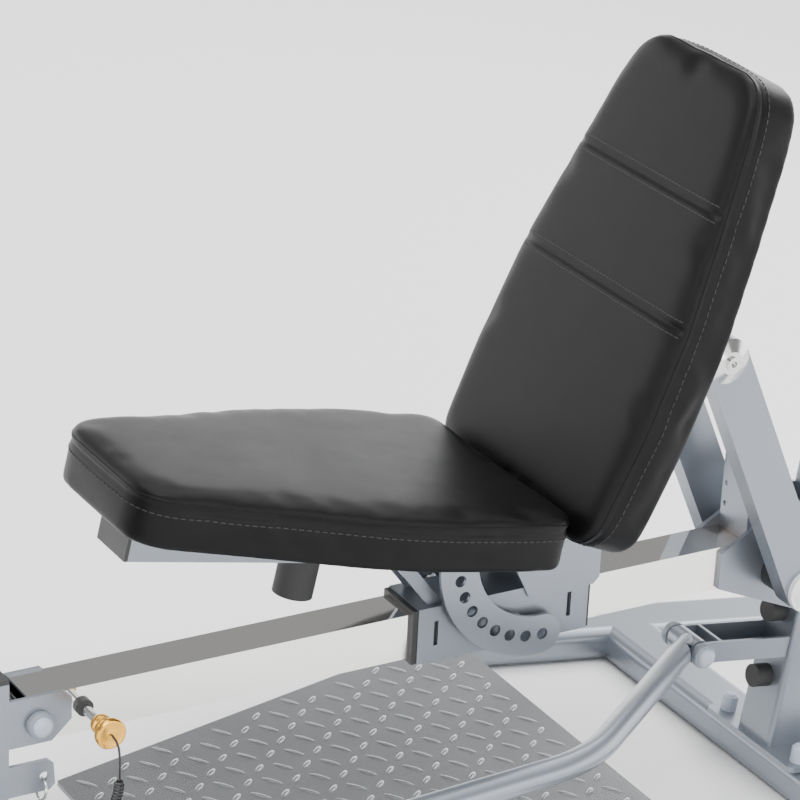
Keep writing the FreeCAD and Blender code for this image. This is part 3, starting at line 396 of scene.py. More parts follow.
class Bench:
    """Modelling helpers that work through Blender's operators."""

    @staticmethod
    def clear() -> None:
        """Deselect everything and leave edit mode."""
        if bpy.context.object and bpy.context.object.mode != "OBJECT":
            bpy.ops.object.mode_set(mode="OBJECT")
        bpy.ops.object.select_all(action="DESELECT")

    @staticmethod
    def pick(piece: bpy.types.Object) -> None:
        """Make one object the active and only selected one.

        Args:
            piece: the object.
        """
        Bench.clear()
        piece.select_set(True)
        bpy.context.view_layer.objects.active = piece

    @staticmethod
    def turned(name: str, profile: Sequence[tuple[float, float]], sides: int = 40) -> bpy.types.Object:
        """Turn a closed shape about Z by extruding and scaling a ring.

        Args:
            name: the piece's name.
            profile: (radius, height) pairs in metres, upwards.
            sides: the ring's vertices.

        Returns:
            The mesh object, about the world's Z axis.
        """
        Bench.clear()
        radius, height = profile[0]
        bpy.ops.mesh.primitive_circle_add(vertices=sides, radius=radius, fill_type="NGON",
                                          location=(0, 0, height))
        piece = bpy.context.object
        piece.name = name
        bpy.ops.object.mode_set(mode="EDIT")
        bpy.ops.mesh.select_all(action="SELECT")
        for following, top in profile[1:]:
            bpy.ops.mesh.extrude_region_move(TRANSFORM_OT_translate={"value": (0, 0, top - height)})
            scale = following / radius
            bpy.ops.transform.resize(value=(scale, scale, 1.0))
            radius, height = following, top
        bpy.ops.mesh.select_all(action="SELECT")
        bpy.ops.mesh.normals_make_consistent(inside=False)
        bpy.ops.object.mode_set(mode="OBJECT")
        Bench.settle(piece)
        return piece

    @staticmethod
    def settle(piece: bpy.types.Object) -> None:
        """Move an object's place into its mesh."""
        Bench.pick(piece)
        bpy.ops.object.transform_apply(location=True, rotation=True, scale=True)

    @staticmethod
    def round_edges(piece: bpy.types.Object, width: float, segments: int = 2, angle: float = 35.0) -> None:
        """Bevel the sharp edges and smooth the piece.

        Args:
            piece: the mesh object.
            width: the bevel's width in metres.
            segments: the bevel's segments.
            angle: the least angle of an edge that is bevelled, in degrees.
        """
        Bench.pick(piece)
        bevel = piece.modifiers.new("edge", "BEVEL")
        bevel.width = width
        bevel.segments = segments
        bevel.limit_method = "ANGLE"
        bevel.angle_limit = math.radians(angle)
        bpy.ops.object.modifier_apply(modifier=bevel.name)
        bpy.ops.object.shade_smooth_by_angle(angle=math.radians(40))

    @staticmethod
    def put(piece: bpy.types.Object, matrix: Matrix) -> None:
        """Carry a mesh by a matrix and keep the object at the origin."""
        piece.data.transform(matrix)
        piece.data.update()

    @staticmethod
    def join(name: str, pieces: list[bpy.types.Object]) -> bpy.types.Object:
        """Join pieces into one object.

        Args:
            name: the new object's name.
            pieces: the objects, the first of which is kept.

        Returns:
            The joined object.
        """
        Bench.clear()
        for piece in pieces:
            piece.select_set(True)
        bpy.context.view_layer.objects.active = pieces[0]
        bpy.ops.object.join()
        joined = bpy.context.object
        joined.name = name
        return joined

    @staticmethod
    def scatter(name: str, first: bpy.types.Object, matrices: Sequence[Matrix]) -> bpy.types.Object:
        """Repeat one finished piece at many places, in one mesh.

        Args:
            name: the new piece's name.
            first: the piece that is repeated, which is then removed.
            matrices: the place of each copy.

        Returns:
            The piece with all the copies.
        """
        corners = [vertex.co.copy() for vertex in first.data.vertices]
        faces = [tuple(face.vertices) for face in first.data.polygons]
        points = [matrix @ corner for matrix in matrices for corner in corners]
        sides = [tuple(index + number * len(corners) for index in face)
                 for number in range(len(matrices)) for face in faces]
        mesh = bpy.data.meshes.new(name)
        mesh.from_pydata(points, [], sides)
        mesh.update()
        bpy.data.objects.remove(first)
        piece = bpy.data.objects.new(name, mesh)
        bpy.context.collection.objects.link(piece)
        Bench.pick(piece)
        bpy.ops.object.shade_smooth()
        return piece

    @staticmethod
    def tube(name: str, points: Sequence[Vector], radius: float, cyclic: bool) -> bpy.types.Object:
        """Make a round mesh tube along points.

        Args:
            name: the piece's name.
            points: the tube's centreline.
            radius: the tube's radius in metres.
            cyclic: whether the tube closes on itself.

        Returns:
            The mesh object.
        """
        Bench.clear()
        curve = bpy.data.curves.new(name, "CURVE")
        curve.dimensions = "3D"
        curve.bevel_depth = radius
        curve.bevel_resolution = 3
        line = curve.splines.new("POLY")
        line.points.add(len(points) - 1)
        for spot, point in zip(line.points, points):
            spot.co = (*point, 1.0)
        line.use_cyclic_u = cyclic
        piece = bpy.data.objects.new(name, curve)
        bpy.context.collection.objects.link(piece)
        Bench.pick(piece)
        bpy.ops.object.convert(target="MESH")
        bpy.ops.object.shade_smooth()
        return bpy.context.object


def towards(origin: Vector, axis: Vector) -> Matrix:
    """Return the matrix that stands Z along an axis at a point."""
    turn = Vector((0, 0, 1)).rotation_difference(axis.normalized()).to_matrix().to_4x4()
    return Matrix.Translation(origin) @ turn


def rounded_outline(points: Sequence[tuple[float, float]], radii: Sequence[float],
                    step: float) -> list[Vector]:
    """Resample a closed outline with arcs at its corners.

    Args:
        points: the corners in millimetres.
        radii: the radius of each corner in millimetres.
        step: the distance between samples in millimetres.

    Returns:
        Even samples in metres.
    """
    path: list[Vector] = []
    count = len(points)
    for index in range(count):
        corner = Vector(points[index])
        before = (Vector(points[index - 1]) - corner).normalized()
        after = (Vector(points[(index + 1) % count]) - corner).normalized()
        half = before.angle(after) / 2
        if abs(half - math.pi / 2) < 1e-3:
            path.append(corner)
            continue
        radius = radii[index]
        inward = (before + after).normalized()
        centre = corner + inward * (radius / math.sin(half))
        first = corner + before * (radius / math.tan(half)) - centre
        last = corner + after * (radius / math.tan(half)) - centre
        turn = math.atan2(first.x * last.y - first.y * last.x, first.dot(last))
        for number in range(ARC_STEPS + 1):
            angle = turn * number / ARC_STEPS
            path.append(centre + Vector((first.x * math.cos(angle) - first.y * math.sin(angle),
                                         first.x * math.sin(angle) + first.y * math.cos(angle))))
    lengths = [(path[(i + 1) % len(path)] - path[i]).length for i in range(len(path))]
    total = sum(lengths)
    samples = int(total / step)
    result: list[Vector] = []
    index, walked = 0, 0.0
    for number in range(samples):
        target = total * number / samples
        while walked + lengths[index] < target:
            walked += lengths[index]
            index += 1
        share = (target - walked) / max(lengths[index], 1e-9)
        result.append(path[index].lerp(path[(index + 1) % len(path)], share) * MM)
    return result


@dataclass
class Cushion:
    """An upholstered pad: a swollen cover with rim piping, stitch rows and optional cross seams."""

    name: str
    node: str
    body: Body
    half_outline: list[tuple[float, float]]
    radii: list[float]
    top: float
    thick: float
    frame: Matrix
    bands: tuple[float, ...] = ()
    voxel: float = 0.005
    swell: float = 0.003
    shrink: float = 0.0015
    fill: float = 0.9
    seam_depth: float = 0.016
    seam_press: float = 0.0016
    seam_width: float = 0.0022
    band_press: float = 0.0022
    band_width: float = 0.0026
    face_depth: float = 0.014
    stitch_drop: float = 0.008
    stitch_length: float = 0.0054
    stitch_radius: float = 0.0007
    piping_radius: float = 0.0013
    row_shift: float = 8.0
    row_margin: float = 12.0
    row_step: int = 6
    crown_height: float = 0.003
    crown_depth: float = 15.0
    base_height: float = 0.012
    pressure: float = 4.0
    stretch_stiffness: float = 60.0
    shear_stiffness: float = 30.0
    bending_stiffness: float = 25.0
    cloth_frames: int = 20

    def outline(self, step: float) -> list[Vector]:
        """Return samples of the pad's outline in its own plane."""
        mirrored = [(x, -y) for x, y in reversed(self.half_outline)]
        return rounded_outline(self.half_outline + mirrored, self.radii, step)

    def slab(self) -> bpy.types.Object:
        """Model the block that the cover starts from.

        Returns:
            The block, in the pad's own frame.
        """
        ring = self.outline(7.0)
        centre = sum(ring, Vector((0, 0))) / len(ring)
        Bench.clear()
        bpy.ops.mesh.primitive_circle_add(vertices=len(ring), radius=0.1, fill_type="NGON",
                                          location=(0, 0, 0))
        piece = bpy.context.object
        piece.name = self.name
        for vertex, spot in zip(piece.data.vertices, ring):
            away = (spot - centre).normalized() * self.shrink
            vertex.co = (spot.x - away.x, spot.y - away.y, (self.top - self.thick) * MM)
        bpy.ops.object.mode_set(mode="EDIT")
        bpy.ops.mesh.select_all(action="SELECT")
        rise = self.thick * MM - self.shrink
        bpy.ops.mesh.extrude_region_move(TRANSFORM_OT_translate={"value": (0, 0, rise)})
        bpy.ops.mesh.select_all(action="SELECT")
        bpy.ops.mesh.normals_make_consistent(inside=False)
        bpy.ops.object.mode_set(mode="OBJECT")
        Bench.round_edges(piece, 0.007, 4, 50.0)
        return piece

    def inflate(self, piece: bpy.types.Object) -> None:
        """Swell the cover by cloth pressure, capped, with its base kept flat.

        Args:
            piece: the block from slab.
        """
        Bench.pick(piece)
        piece.data.remesh_voxel_size = self.voxel
        bpy.ops.object.voxel_remesh()
        rest = [vertex.co.copy() for vertex in piece.data.vertices]
        floor = (self.top - self.thick) * MM
        cloth = piece.modifiers.new("swell", "CLOTH")
        cloth.settings.use_pressure = True
        cloth.settings.uniform_pressure_force = self.pressure
        cloth.settings.effector_weights.gravity = 0.0
        cloth.settings.tension_stiffness = self.stretch_stiffness
        cloth.settings.compression_stiffness = self.stretch_stiffness
        cloth.settings.shear_stiffness = self.shear_stiffness
        cloth.settings.bending_stiffness = self.bending_stiffness
        scene = bpy.context.scene
        for frame in range(1, self.cloth_frames + 1):
            scene.frame_set(frame)
        view = piece.evaluated_get(bpy.context.evaluated_depsgraph_get())
        moved = [vertex.co.copy() for vertex in view.data.vertices]
        piece.modifiers.remove(cloth)
        scene.frame_set(1)
        for vertex, old, new in zip(piece.data.vertices, rest, moved):
            travel = new - old
            if travel.length > self.swell:
                travel = travel.normalized() * self.swell
            share = min(1.0, max(0.0, (old.z - floor) / self.base_height))
            vertex.co = old + travel * share
            vertex.co.z += self.crown(old) * share
        smooth = piece.modifiers.new("even", "SMOOTH")
        smooth.iterations = 8
        smooth.factor = 0.5
        fine = piece.modifiers.new("fine", "SUBSURF")
        fine.levels = fine.render_levels = 1
        Bench.pick(piece)
        bpy.ops.object.modifier_apply(modifier=smooth.name)
        bpy.ops.object.modifier_apply(modifier=fine.name)

    def crown(self, spot: Vector) -> float:
        """Work out how far the pad's filling lifts a point of its top face.

        Args:
            spot: the point, in the pad's own frame.

        Returns:
            The lift in metres.
        """
        middle = (self.half_outline[0][0] + self.half_outline[-1][0]) / 2 * MM
        reach = (self.half_outline[-1][0] - self.half_outline[0][0]) / 2 * MM
        along = max(0.0, 1.0 - ((spot.x - middle) / reach) ** 2)
        across = max(0.0, 1.0 - (spot.y / (self.width_at(spot.x / MM) * MM)) ** 2)
        top = 1.0 if spot.z > (self.top - self.crown_depth) * MM else 0.0
        return self.crown_height * (along * across) ** 0.5 * top

    def sew(self, piece: bpy.types.Object) -> None:
        """Press the rim seam and the cross seams into the cover.

        Args:
            piece: the cover.
        """
        seam_height = self.top * MM - self.seam_depth
        face = self.top * MM - self.face_depth
        normals = [vertex.normal.copy() for vertex in piece.data.vertices]
        for vertex, normal in zip(piece.data.vertices, normals):
            depth = 0.0
            side = 1.0 - abs(normal.z)
            depth += self.seam_press * side * math.exp(-((vertex.co.z - seam_height) / self.seam_width) ** 2)
            if normal.z > 0.5 and vertex.co.z > face:
                for band in self.bands:
                    depth += self.band_press * math.exp(-((vertex.co.x - band * MM) / self.band_width) ** 2)
            vertex.co -= normal * depth
        piece.data.update()
        Bench.pick(piece)
        bpy.ops.object.shade_smooth()

    def rows(self, cover: BVHTree) -> tuple[list[Vector], list[tuple[Vector, Vector, Vector]]]:
        """Trace the piping and the stitches over the cover.

        Args:
            cover: the cover's surface in the pad's own frame.

        Returns:
            The piping's points, and each stitch as place, direction and outward normal.
        """
        ring = self.outline(4.0)
        centre = sum(ring, Vector((0, 0))) / len(ring)
        piping: list[Vector] = []
        stitches: list[tuple[Vector, Vector, Vector]] = []
        count = len(ring)
        for index, spot in enumerate(ring):
            along = (ring[(index + 1) % count] - ring[index - 1]).normalized()
            outward = Vector((along.y, -along.x))
            if outward.dot(spot - centre) < 0:
                outward = -outward
            flat = Vector((spot.x, spot.y, 0.0))
            out3 = Vector((outward.x, outward.y, 0.0))
            start = flat + out3 * 0.04 + Vector((0, 0, self.top * MM + 0.034))
            hit = cover.ray_cast(start, (-out3 - Vector((0, 0, 1))).normalized())
            if hit[0] is not None:
                piping.append(hit[0] - hit[1] * 0.0004)
            drop = self.top * MM - self.seam_depth - self.stitch_drop
            hit = cover.ray_cast(flat + out3 * 0.05 + Vector((0, 0, drop)), -out3)
            if hit[0] is not None and index % 2 == 0:
                stitches.append((hit[0], Vector((along.x, along.y, 0.0)), hit[1]))
        for band in self.bands:
            for shift in (-self.row_shift, self.row_shift):
                reach = self.width_at(band + shift) - self.row_margin
                for step in range(int(-reach), int(reach), self.row_step):
                    start = Vector(((band + shift) * MM, step * MM, self.top * MM + 0.05))
                    hit = cover.ray_cast(start, Vector((0, 0, -1)))
                    if hit[0] is not None:
                        stitches.append((hit[0], Vector((0, 1, 0)), hit[1]))
        return piping, stitches

    def width_at(self, place: float) -> float:
        """Work out the half width at a distance along the pad.

        Args:
            place: the distance along the pad in millimetres.

        Returns:
            The half width in millimetres.
        """
        for (x0, y0), (x1, y1) in zip(self.half_outline, self.half_outline[1:]):
            if x0 <= place <= x1:
                return y0 + (y1 - y0) * (place - x0) / (x1 - x0)
        return self.half_outline[-1][1]

    def stitch_rows(self, stitches: list[tuple[Vector, Vector, Vector]]) -> bpy.types.Object:
        """Model one stitch and copy it along the rows.

        Args:
            stitches: each stitch as place, direction and outward normal.

        Returns:
            All the stitches as one piece.
        """
        Bench.clear()
        bpy.ops.mesh.primitive_cylinder_add(vertices=6, radius=self.stitch_radius, depth=self.stitch_length)
        first = bpy.context.object
        Bench.round_edges(first, 0.0003, 1)
        places = []
        for place, along, normal in stitches:
            side = normal.cross(along).normalized()
            rise = side.cross(normal).normalized()
            turn = Matrix((side, normal, rise)).transposed().to_4x4()
            places.append(Matrix.Translation(place + normal * 0.0002) @ turn)
        return Bench.scatter(f"{self.name}_stitching", first, places)

    def build(self, finishes: Finishes) -> None:
        """Model, sew and dress the pad.

        Args:
            finishes: the machine's finishes.
        """
        piece = self.slab()
        self.inflate(piece)
        self.sew(piece)
        cover = BVHTree.FromObject(piece, bpy.context.evaluated_depsgraph_get())
        piping, stitches = self.rows(cover)
        welt = Bench.tube(f"{self.name}_piping", piping, self.piping_radius, True)
        thread = self.stitch_rows(stitches)
        for item, finish in ((piece, "vinyl"), (welt, "vinyl"), (thread, "thread")):
            Bench.put(item, self.frame)
            finishes.wear(item, finish)
            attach(item, self.body.value)
        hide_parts(self.node)
        LOG.info("%s: %d faces, %d stitches", self.name, len(piece.data.polygons), len(stitches))


@dataclass
class Upholstery:
    """The seat and the backrest, set out from the backrest's hinge."""

    pivot: Vector
    seat_tilt: float = 3.2
    recline: float = 15.5
    seat_rear: float = -42.0
    seat_length: float = 473.0
    seat_top: float = 73.0
    seat_thick: float = 60.0
    back_front: float = -41.7
    back_low: float = 26.0
    back_length: float = 505.0
    back_thick: float = 65.0
    back_seams: tuple[float, float] = (273.0, 391.0)

    def seat(self) -> Cushion:
        """Set out the seat.

        Returns:
            The seat's pad.
        """
        front = self.seat_rear - self.seat_length
        outline = [(front, 96), (front + 120, 121), (front + 232, 146), (front + 300, 155),
                   (self.seat_rear - 60, 152), (self.seat_rear, 146)]
        place = Matrix.Translation(self.pivot) @ Matrix.Rotation(math.radians(self.seat_tilt), 4, "Y")
        radii = [48, 200, 200, 150, 200, 24, 24, 200, 150, 200, 200, 48]
        return Cushion("seat_cushion", "seat_pad", Body.CARRIAGE, outline, radii, self.seat_top,
                       self.seat_thick, place)

    def back(self) -> Cushion:
        """Set out the backrest, with its length up the back and its top to the front.

        Returns:
            The backrest's pad.
        """
        low = self.back_low
        outline = [(low, 152), (low + 130, 160), (low + 245, 155), (low + 345, 138), (low + 445, 118),
                   (low + self.back_length, 98)]
        lean = Matrix.Rotation(math.radians(self.recline), 4, "Y")
        axes = Matrix(((0, 0, -1, 0), (0, 1, 0, 0), (1, 0, 0, 0), (0, 0, 0, 1)))
        place = Matrix.Translation(self.pivot) @ lean @ axes
        radii = [42, 200, 200, 200, 200, 46, 46, 200, 200, 200, 200, 42]
        return Cushion("back_cushion", "back_pad", Body.BACKREST, outline, radii, -self.back_front,
                       self.back_thick, place, bands=self.back_seams)

    def build(self, finishes: Finishes) -> None:
        """Build both pads."""
        self.seat().build(finishes)
        self.back().build(finishes)


@dataclass
class NutCaps:
    """Domed plastic caps over the bolts' ends: a dark ring with a lighter dome."""

    radius: float = 0.014
    ring: str = "cap_ring"
    dome: str = "cap_dome"

    def cap(self, name: str, depth: float, finishes: Finishes) -> bpy.types.Object:
        """Model one cap about Z.

        Args:
            name: the piece's name.
            depth: how far the cap stands out.
            finishes: the machine's finishes.

        Returns:
            The cap, its foot at the origin.
        """
        radius = self.radius
        skirt = Bench.turned(name, [(radius, 0.0), (radius, depth * 0.45), (radius * 0.93, depth * 0.58),
                                    (radius * 0.80, depth * 0.60)])
        crown = Bench.turned(name + "_crown", [(radius * 0.78, depth * 0.5), (radius * 0.76, depth * 0.72),
                                               (radius * 0.66, depth * 0.86), (radius * 0.45, depth * 0.96),
                                               (radius * 0.2, depth)])
        for item, finish in ((skirt, self.ring), (crown, self.dome)):
            Bench.round_edges(item, radius * 0.04, 2, 50.0)
            finishes.wear(item, finish)
        return Bench.join(name, [skirt, crown])

    def pair(self, name: str, centre: Vector, reach: float, depth: float, body: Body,
             finishes: Finishes) -> bpy.types.Object:
        """Place a cap on each side of a bolt along Y.

        Args:
            name: the piece's name.
            centre: the middle of the bolt.
            reach: how far each cap's foot is from the middle.
            depth: how far a cap stands out.
            body: the body that the caps ride on.
            finishes: the machine's finishes.

        Returns:
            Both caps as one piece.
        """
        caps = []
        for side in (-1, 1):
            cap = self.cap(f"{name}_{'left' if side < 0 else 'right'}", depth, finishes)
            Bench.put(cap, towards(centre + Vector((0, side * reach, 0)), Vector((0, side, 0))))
            caps.append(cap)
        joined = Bench.join(name, caps)
        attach(joined, body.value)
        LOG.info("%s: %d caps", name, len(caps))
        return joined


@dataclass
class Fittings:
    """The capped bolts of the rail's front end and of the side lever."""

    rail_slope: float = 8.5
    rail_end: tuple[float, float, float] = (-0.135, 0.0, 0.298)
    bolt_along: float = 0.836
    bolt_drop: float = 0.028
    rail_cap_depth: float = 0.014
    lever_cap_depth: float = 0.015
    lever_bolt_inset: float = 0.012
    lever_bolt_height: float = 0.166
    lever_bolt_reach: float = 0.025

    def build(self, finishes: Finishes) -> None:
        """Replace the plain caps by domed ones and join them.

        Args:
            finishes: the machine's finishes.
        """
        gusset = [Vector(corner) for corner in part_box("rail_gussets")]
        bracket = [Vector(corner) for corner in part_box("lever_bracket")]
        slope = math.radians(self.rail_slope)
        end = Vector(self.rail_end)
        along = Vector((math.cos(slope), 0.0, math.sin(slope)))
        upward = Vector((-math.sin(slope), 0.0, math.cos(slope)))
        nuts = NutCaps()
        rail_bolt = end - along * self.bolt_along - upward * self.bolt_drop
        lever_bolt = Vector((bracket[0].x + self.lever_bolt_inset, 0.0, self.lever_bolt_height))
        front = nuts.pair("rail_nut_caps", rail_bolt, gusset[1].y, self.rail_cap_depth,
                          Body.FRAME, finishes)
        lever = nuts.pair("lever_nut_caps", lever_bolt, self.lever_bolt_reach, self.lever_cap_depth,
                          Body.FRAME, finishes)
        caps = Bench.join("bolt_nut_caps", [front, lever])
        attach(caps, Body.FRAME.value)
        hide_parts("bolt_caps")
        LOG.info("bolt_nut_caps: %d faces", len(caps.data.polygons))


@dataclass
class Knobs:
    """The stop pin's gold knob and the lock pin's black one."""

    def stop(self, finishes: Finishes) -> None:
        """Turn the gold knob: a neck with rings and a broad disc.

        Args:
            finishes: the machine's finishes.
        """
        low, high = (Vector(corner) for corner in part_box("stop_knob"))
        middle = (low + high) / 2
        radius = (high.x - low.x) / 2
        length = high.y - low.y
        profile = [(radius * 0.62, 0.0), (radius * 0.66, length * 0.05), (radius * 0.66, length * 0.22),
                   (radius * 0.50, length * 0.27), (radius * 0.50, length * 0.33),
                   (radius * 0.66, length * 0.38),
                   (radius * 0.66, length * 0.50), (radius * 0.42, length * 0.60),
                   (radius * 0.46, length * 0.68), (radius * 0.92, length * 0.74),
                   (radius, length * 0.78), (radius, length * 0.93),
                   (radius * 0.93, length), (radius * 0.72, length), (radius * 0.70, length * 0.985),
                   (radius * 0.30, length * 0.985), (radius * 0.27, length)]
        knob = Bench.turned("gold_knob", profile, 56)
        Bench.round_edges(knob, radius * 0.03, 2, 30.0)
        Bench.put(knob, towards(Vector((middle.x, high.y, middle.z)), Vector((0, -1, 0))))
        finishes.wear(knob, "gold_anodised")
        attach(knob, Body.STOP_PIN.value)
        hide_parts("stop_knob")
        LOG.info("gold_knob: %d faces", len(knob.data.polygons))

    def lock(self, finishes: Finishes) -> None:
        """Turn the black pull knob.

        Args:
            finishes: the machine's finishes.
        """
        low, high = (Vector(corner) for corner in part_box("lock_knob"))
        middle = (low + high) / 2
        radius = (high.x - low.x) / 2
        length = high.y - low.y
        knob = Bench.turned("lock_pull", [(radius * 0.6, 0.0), (radius * 0.62, length * 0.3),
                                          (radius * 0.85, length * 0.45), (radius, length * 0.6),
                                          (radius, length * 0.85), (radius * 0.85, length * 0.97),
                                          (radius * 0.5, length)])
        Bench.round_edges(knob, radius * 0.06, 3, 30.0)
        Bench.put(knob, towards(Vector((middle.x, low.y, middle.z)), Vector((0, 1, 0))))
        finishes.wear(knob, "black_plastic")
        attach(knob, Body.LOCK_PIN.value)
        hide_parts("lock_knob")
        LOG.info("lock_pull: %d faces", len(knob.data.polygons))


@dataclass
class TreadLugs:
    """Lens lugs in two alternating directions on the tread plate."""

    pitch: float = 0.0285
    length: float = 0.024
    width: float = 0.0064
    height: float = 0.0014
    front_half: float = 0.040
    margin: float = 0.014
    lean: float = 45.0

    def build(self, finishes: Finishes) -> None:
        """Model one lug and copy it over the plate.

        Args:
            finishes: the machine's finishes.
        """
        low, high = (Vector(corner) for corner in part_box("tread_plate"))
        Bench.clear()
        bpy.ops.mesh.primitive_uv_sphere_add(segments=10, ring_count=6, radius=1.0)
        first = bpy.context.object
        first.scale = (self.length / 2, self.width / 2, self.height)
        Bench.settle(first)
        widening = (high.y - self.front_half) / (high.x - low.x)
        copies = []
        rows = int((high.x - low.x) / self.pitch)
        for row in range(1, rows):
            x = low.x + row * self.pitch
            half = self.front_half + widening * (x - low.x) - self.margin
            columns = int(half / self.pitch)
            for column in range(-columns, columns + 1):
                y = column * self.pitch
                turn = math.radians(self.lean if (row + column) % 2 else -self.lean)
                matrix = Matrix.Translation((x, y, high.z)) @ Matrix.Rotation(turn, 4, "Z")
                copies.append(matrix)
        lugs = Bench.scatter("tread_lugs", first, copies)
        finishes.wear(lugs, "tread_gloss")
        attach(lugs, Body.FRAME.value)
        LOG.info("tread lugs: %d", len(copies))


@dataclass
class Grip:
    """The side lever's ribbed rubber grip."""

    node: bpy.types.Object
    ribs: int = 16
    length: float = 0.119
    direction: tuple[float, float, float] = (-0.404, -0.113, 0.0)

    def build(self, finishes: Finishes) -> None:
        """Turn the grip along the lever's last run.

        Args:
            finishes: the machine's finishes.
        """
        spots = [vertex.co.copy() for vertex in self.node.data.vertices]
        centre = sum(spots, Vector()) / len(spots)
        low, high = (Vector(corner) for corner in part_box("lever_grip"))
        run = Vector(self.direction).normalized()
        length = self.length
        radius = (high.z - low.z) / 2
        profile = [(radius * 0.90, 0.0), (radius * 1.0, length * 0.02)]
        for number in range(self.ribs):
            start = length * (0.06 + 0.86 * number / self.ribs)
            step = length * 0.86 / self.ribs
            profile += [(radius * 0.985, start), (radius * 0.93, start + step * 0.25),
                        (radius * 0.93, start + step * 0.55), (radius * 0.985, start + step * 0.8)]
        profile += [(radius, length * 0.95), (radius * 0.9, length * 0.99), (radius * 0.6, length)]
        grip = Bench.turned("ribbed_grip", profile, 36)
        Bench.pick(grip)
        bpy.ops.object.shade_smooth_by_angle(angle=math.radians(30))
        Bench.put(grip, towards(centre - run * (length / 2), run))
        finishes.wear(grip, "rubber")
        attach(grip, Body.LEVER.value)
        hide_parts("lever_grip")
        LOG.info("ribbed_grip: %.3f m", length)


@dataclass
class Studio:
    """Floor, lights and camera."""

    position: tuple[float, float, float] = (-2.469, -2.794, 1.606)
    right: tuple[float, float, float] = (0.8491, -0.4983, 0.1752)
    up: tuple[float, float, float] = (0.0224, 0.3654, 0.9305)
    forward: tuple[float, float, float] = (0.5277, 0.7862, -0.3214)
    lens: float = 159.6
    band: float = 0.10
    strength: float = 3.4
    floor_size: float = 30.0
    floor_drop: float = 0.0005
    middle: tuple[float, float, float] = (-0.5, 0.0, 0.4)

    def camera(self) -> None:
        """Set the camera."""
        data = bpy.data.cameras.new("studio_camera")
        data.lens = self.lens
        data.sensor_width = 36.0
        data.clip_end = 60.0
        camera = bpy.data.objects.new("studio_camera", data)
        bpy.context.collection.objects.link(camera)
        back = -Vector(self.forward)
        right = Vector(self.right)
        up = back.cross(right).normalized()
        right = up.cross(back).normalized()
        turn = Matrix((right, up, back.normalized())).transposed().to_4x4()
        camera.matrix_world = Matrix.Translation(self.position) @ turn
        bpy.context.scene.camera = camera

    def light(self, name: str, place: Sequence[float], size: float, power: float) -> None:
        """Add one soft square light that faces the machine's middle.

        Args:
            name: the light's name.
            place: the light's position.
            size: the square's side in metres.
            power: the light's power in watts.
        """
        data = bpy.data.lights.new(name, "AREA")
        data.shape = "SQUARE"
        data.size = size
        data.energy = power
        lamp = bpy.data.objects.new(name, data)
        bpy.context.collection.objects.link(lamp)
        aim = Vector(self.middle) - Vector(place)
        lamp.matrix_world = Matrix.Translation(place) @ aim.to_track_quat("-Z", "Y").to_matrix().to_4x4()

    def sky(self, tree: bpy.types.NodeTree) -> None:
        """Make a white surround with a darker band above it, as between a studio's walls and ceiling.

        Args:
            tree: the world's node tree.
        """
        spot = tree.nodes.new("ShaderNodeTexCoord")
        height = tree.nodes.new("ShaderNodeSeparateXYZ")
        ramp = tree.nodes.new("ShaderNodeValToRGB")
        stops = [(0.0, 1.0), (0.22, 1.0), (0.36, self.band), (0.62, self.band), (0.82, 1.0)]
        while len(ramp.color_ramp.elements) < len(stops):
            ramp.color_ramp.elements.new(0.5)
        for element, (place, shade) in zip(ramp.color_ramp.elements, stops):
            element.position = place
            element.color = (shade, shade, shade, 1.0)
        tree.links.new(spot.outputs["Generated"], height.inputs[0])
        tree.links.new(height.outputs["Z"], ramp.inputs[0])
        tree.links.new(ramp.outputs[0], tree.nodes["Background"].inputs[0])
        tree.nodes["Background"].inputs[1].default_value = self.strength

    def build(self) -> None:
        """Build the pale floor, the lights and the camera."""
        Bench.clear()
        bpy.ops.mesh.primitive_plane_add(size=self.floor_size, location=(0, 0, -self.floor_drop))
        floor = bpy.context.object
        floor.name = "studio_floor"
        shader = Shader("studio_floor")
        shader.set(Base_Color=(0.93, 0.93, 0.93, 1.0), Roughness=0.6)
        floor.data.materials.append(shader.material)
        world = bpy.data.worlds.new("studio")
        world.use_nodes = True
        self.sky(world.node_tree)
        bpy.context.scene.world = world
        self.light("key", (-2.6, -1.2, 3.2), 1.8, 60.0)
        self.light("fill", (-0.2, -3.4, 1.6), 2.2, 25.0)
        self.light("rim", (2.2, 1.8, 2.4), 1.6, 40.0)
        self.camera()


NODE_FINISH = {
    "rail": "chrome",
    "tread_plate": "tread_gloss",
    "foot_plate": "tread_gloss",
    "carriage_liners": "black_plastic",
    "tube_end_caps": "black_plastic",
    "seat_channel_cap": "black_plastic",
    "strut_bushes": "black_plastic",
    "stop_pin_bush": "black_plastic",
    "seat_buffer": "rubber",
    "column_bumpers": "rubber",
    "strut_top_washers": "plated_steel",
    "through_bolts": "plated_steel",
    "pivot_shaft": "plated_steel",
    "strut_shaft": "plated_steel",
    "strut_top_shaft": "plated_steel",
    "stop_pin": "plated_steel",
    "lock_pin": "plated_steel",
    "clip_ring": "plated_steel",
    "flange_bolts": "cap_dome",
    "bolt_caps": "cap_ring",
    "strut_lower_caps": "white_cap",
    "lanyard_cord": "cord_sheath",
    "lanyard_coil": "cord_sheath",
}


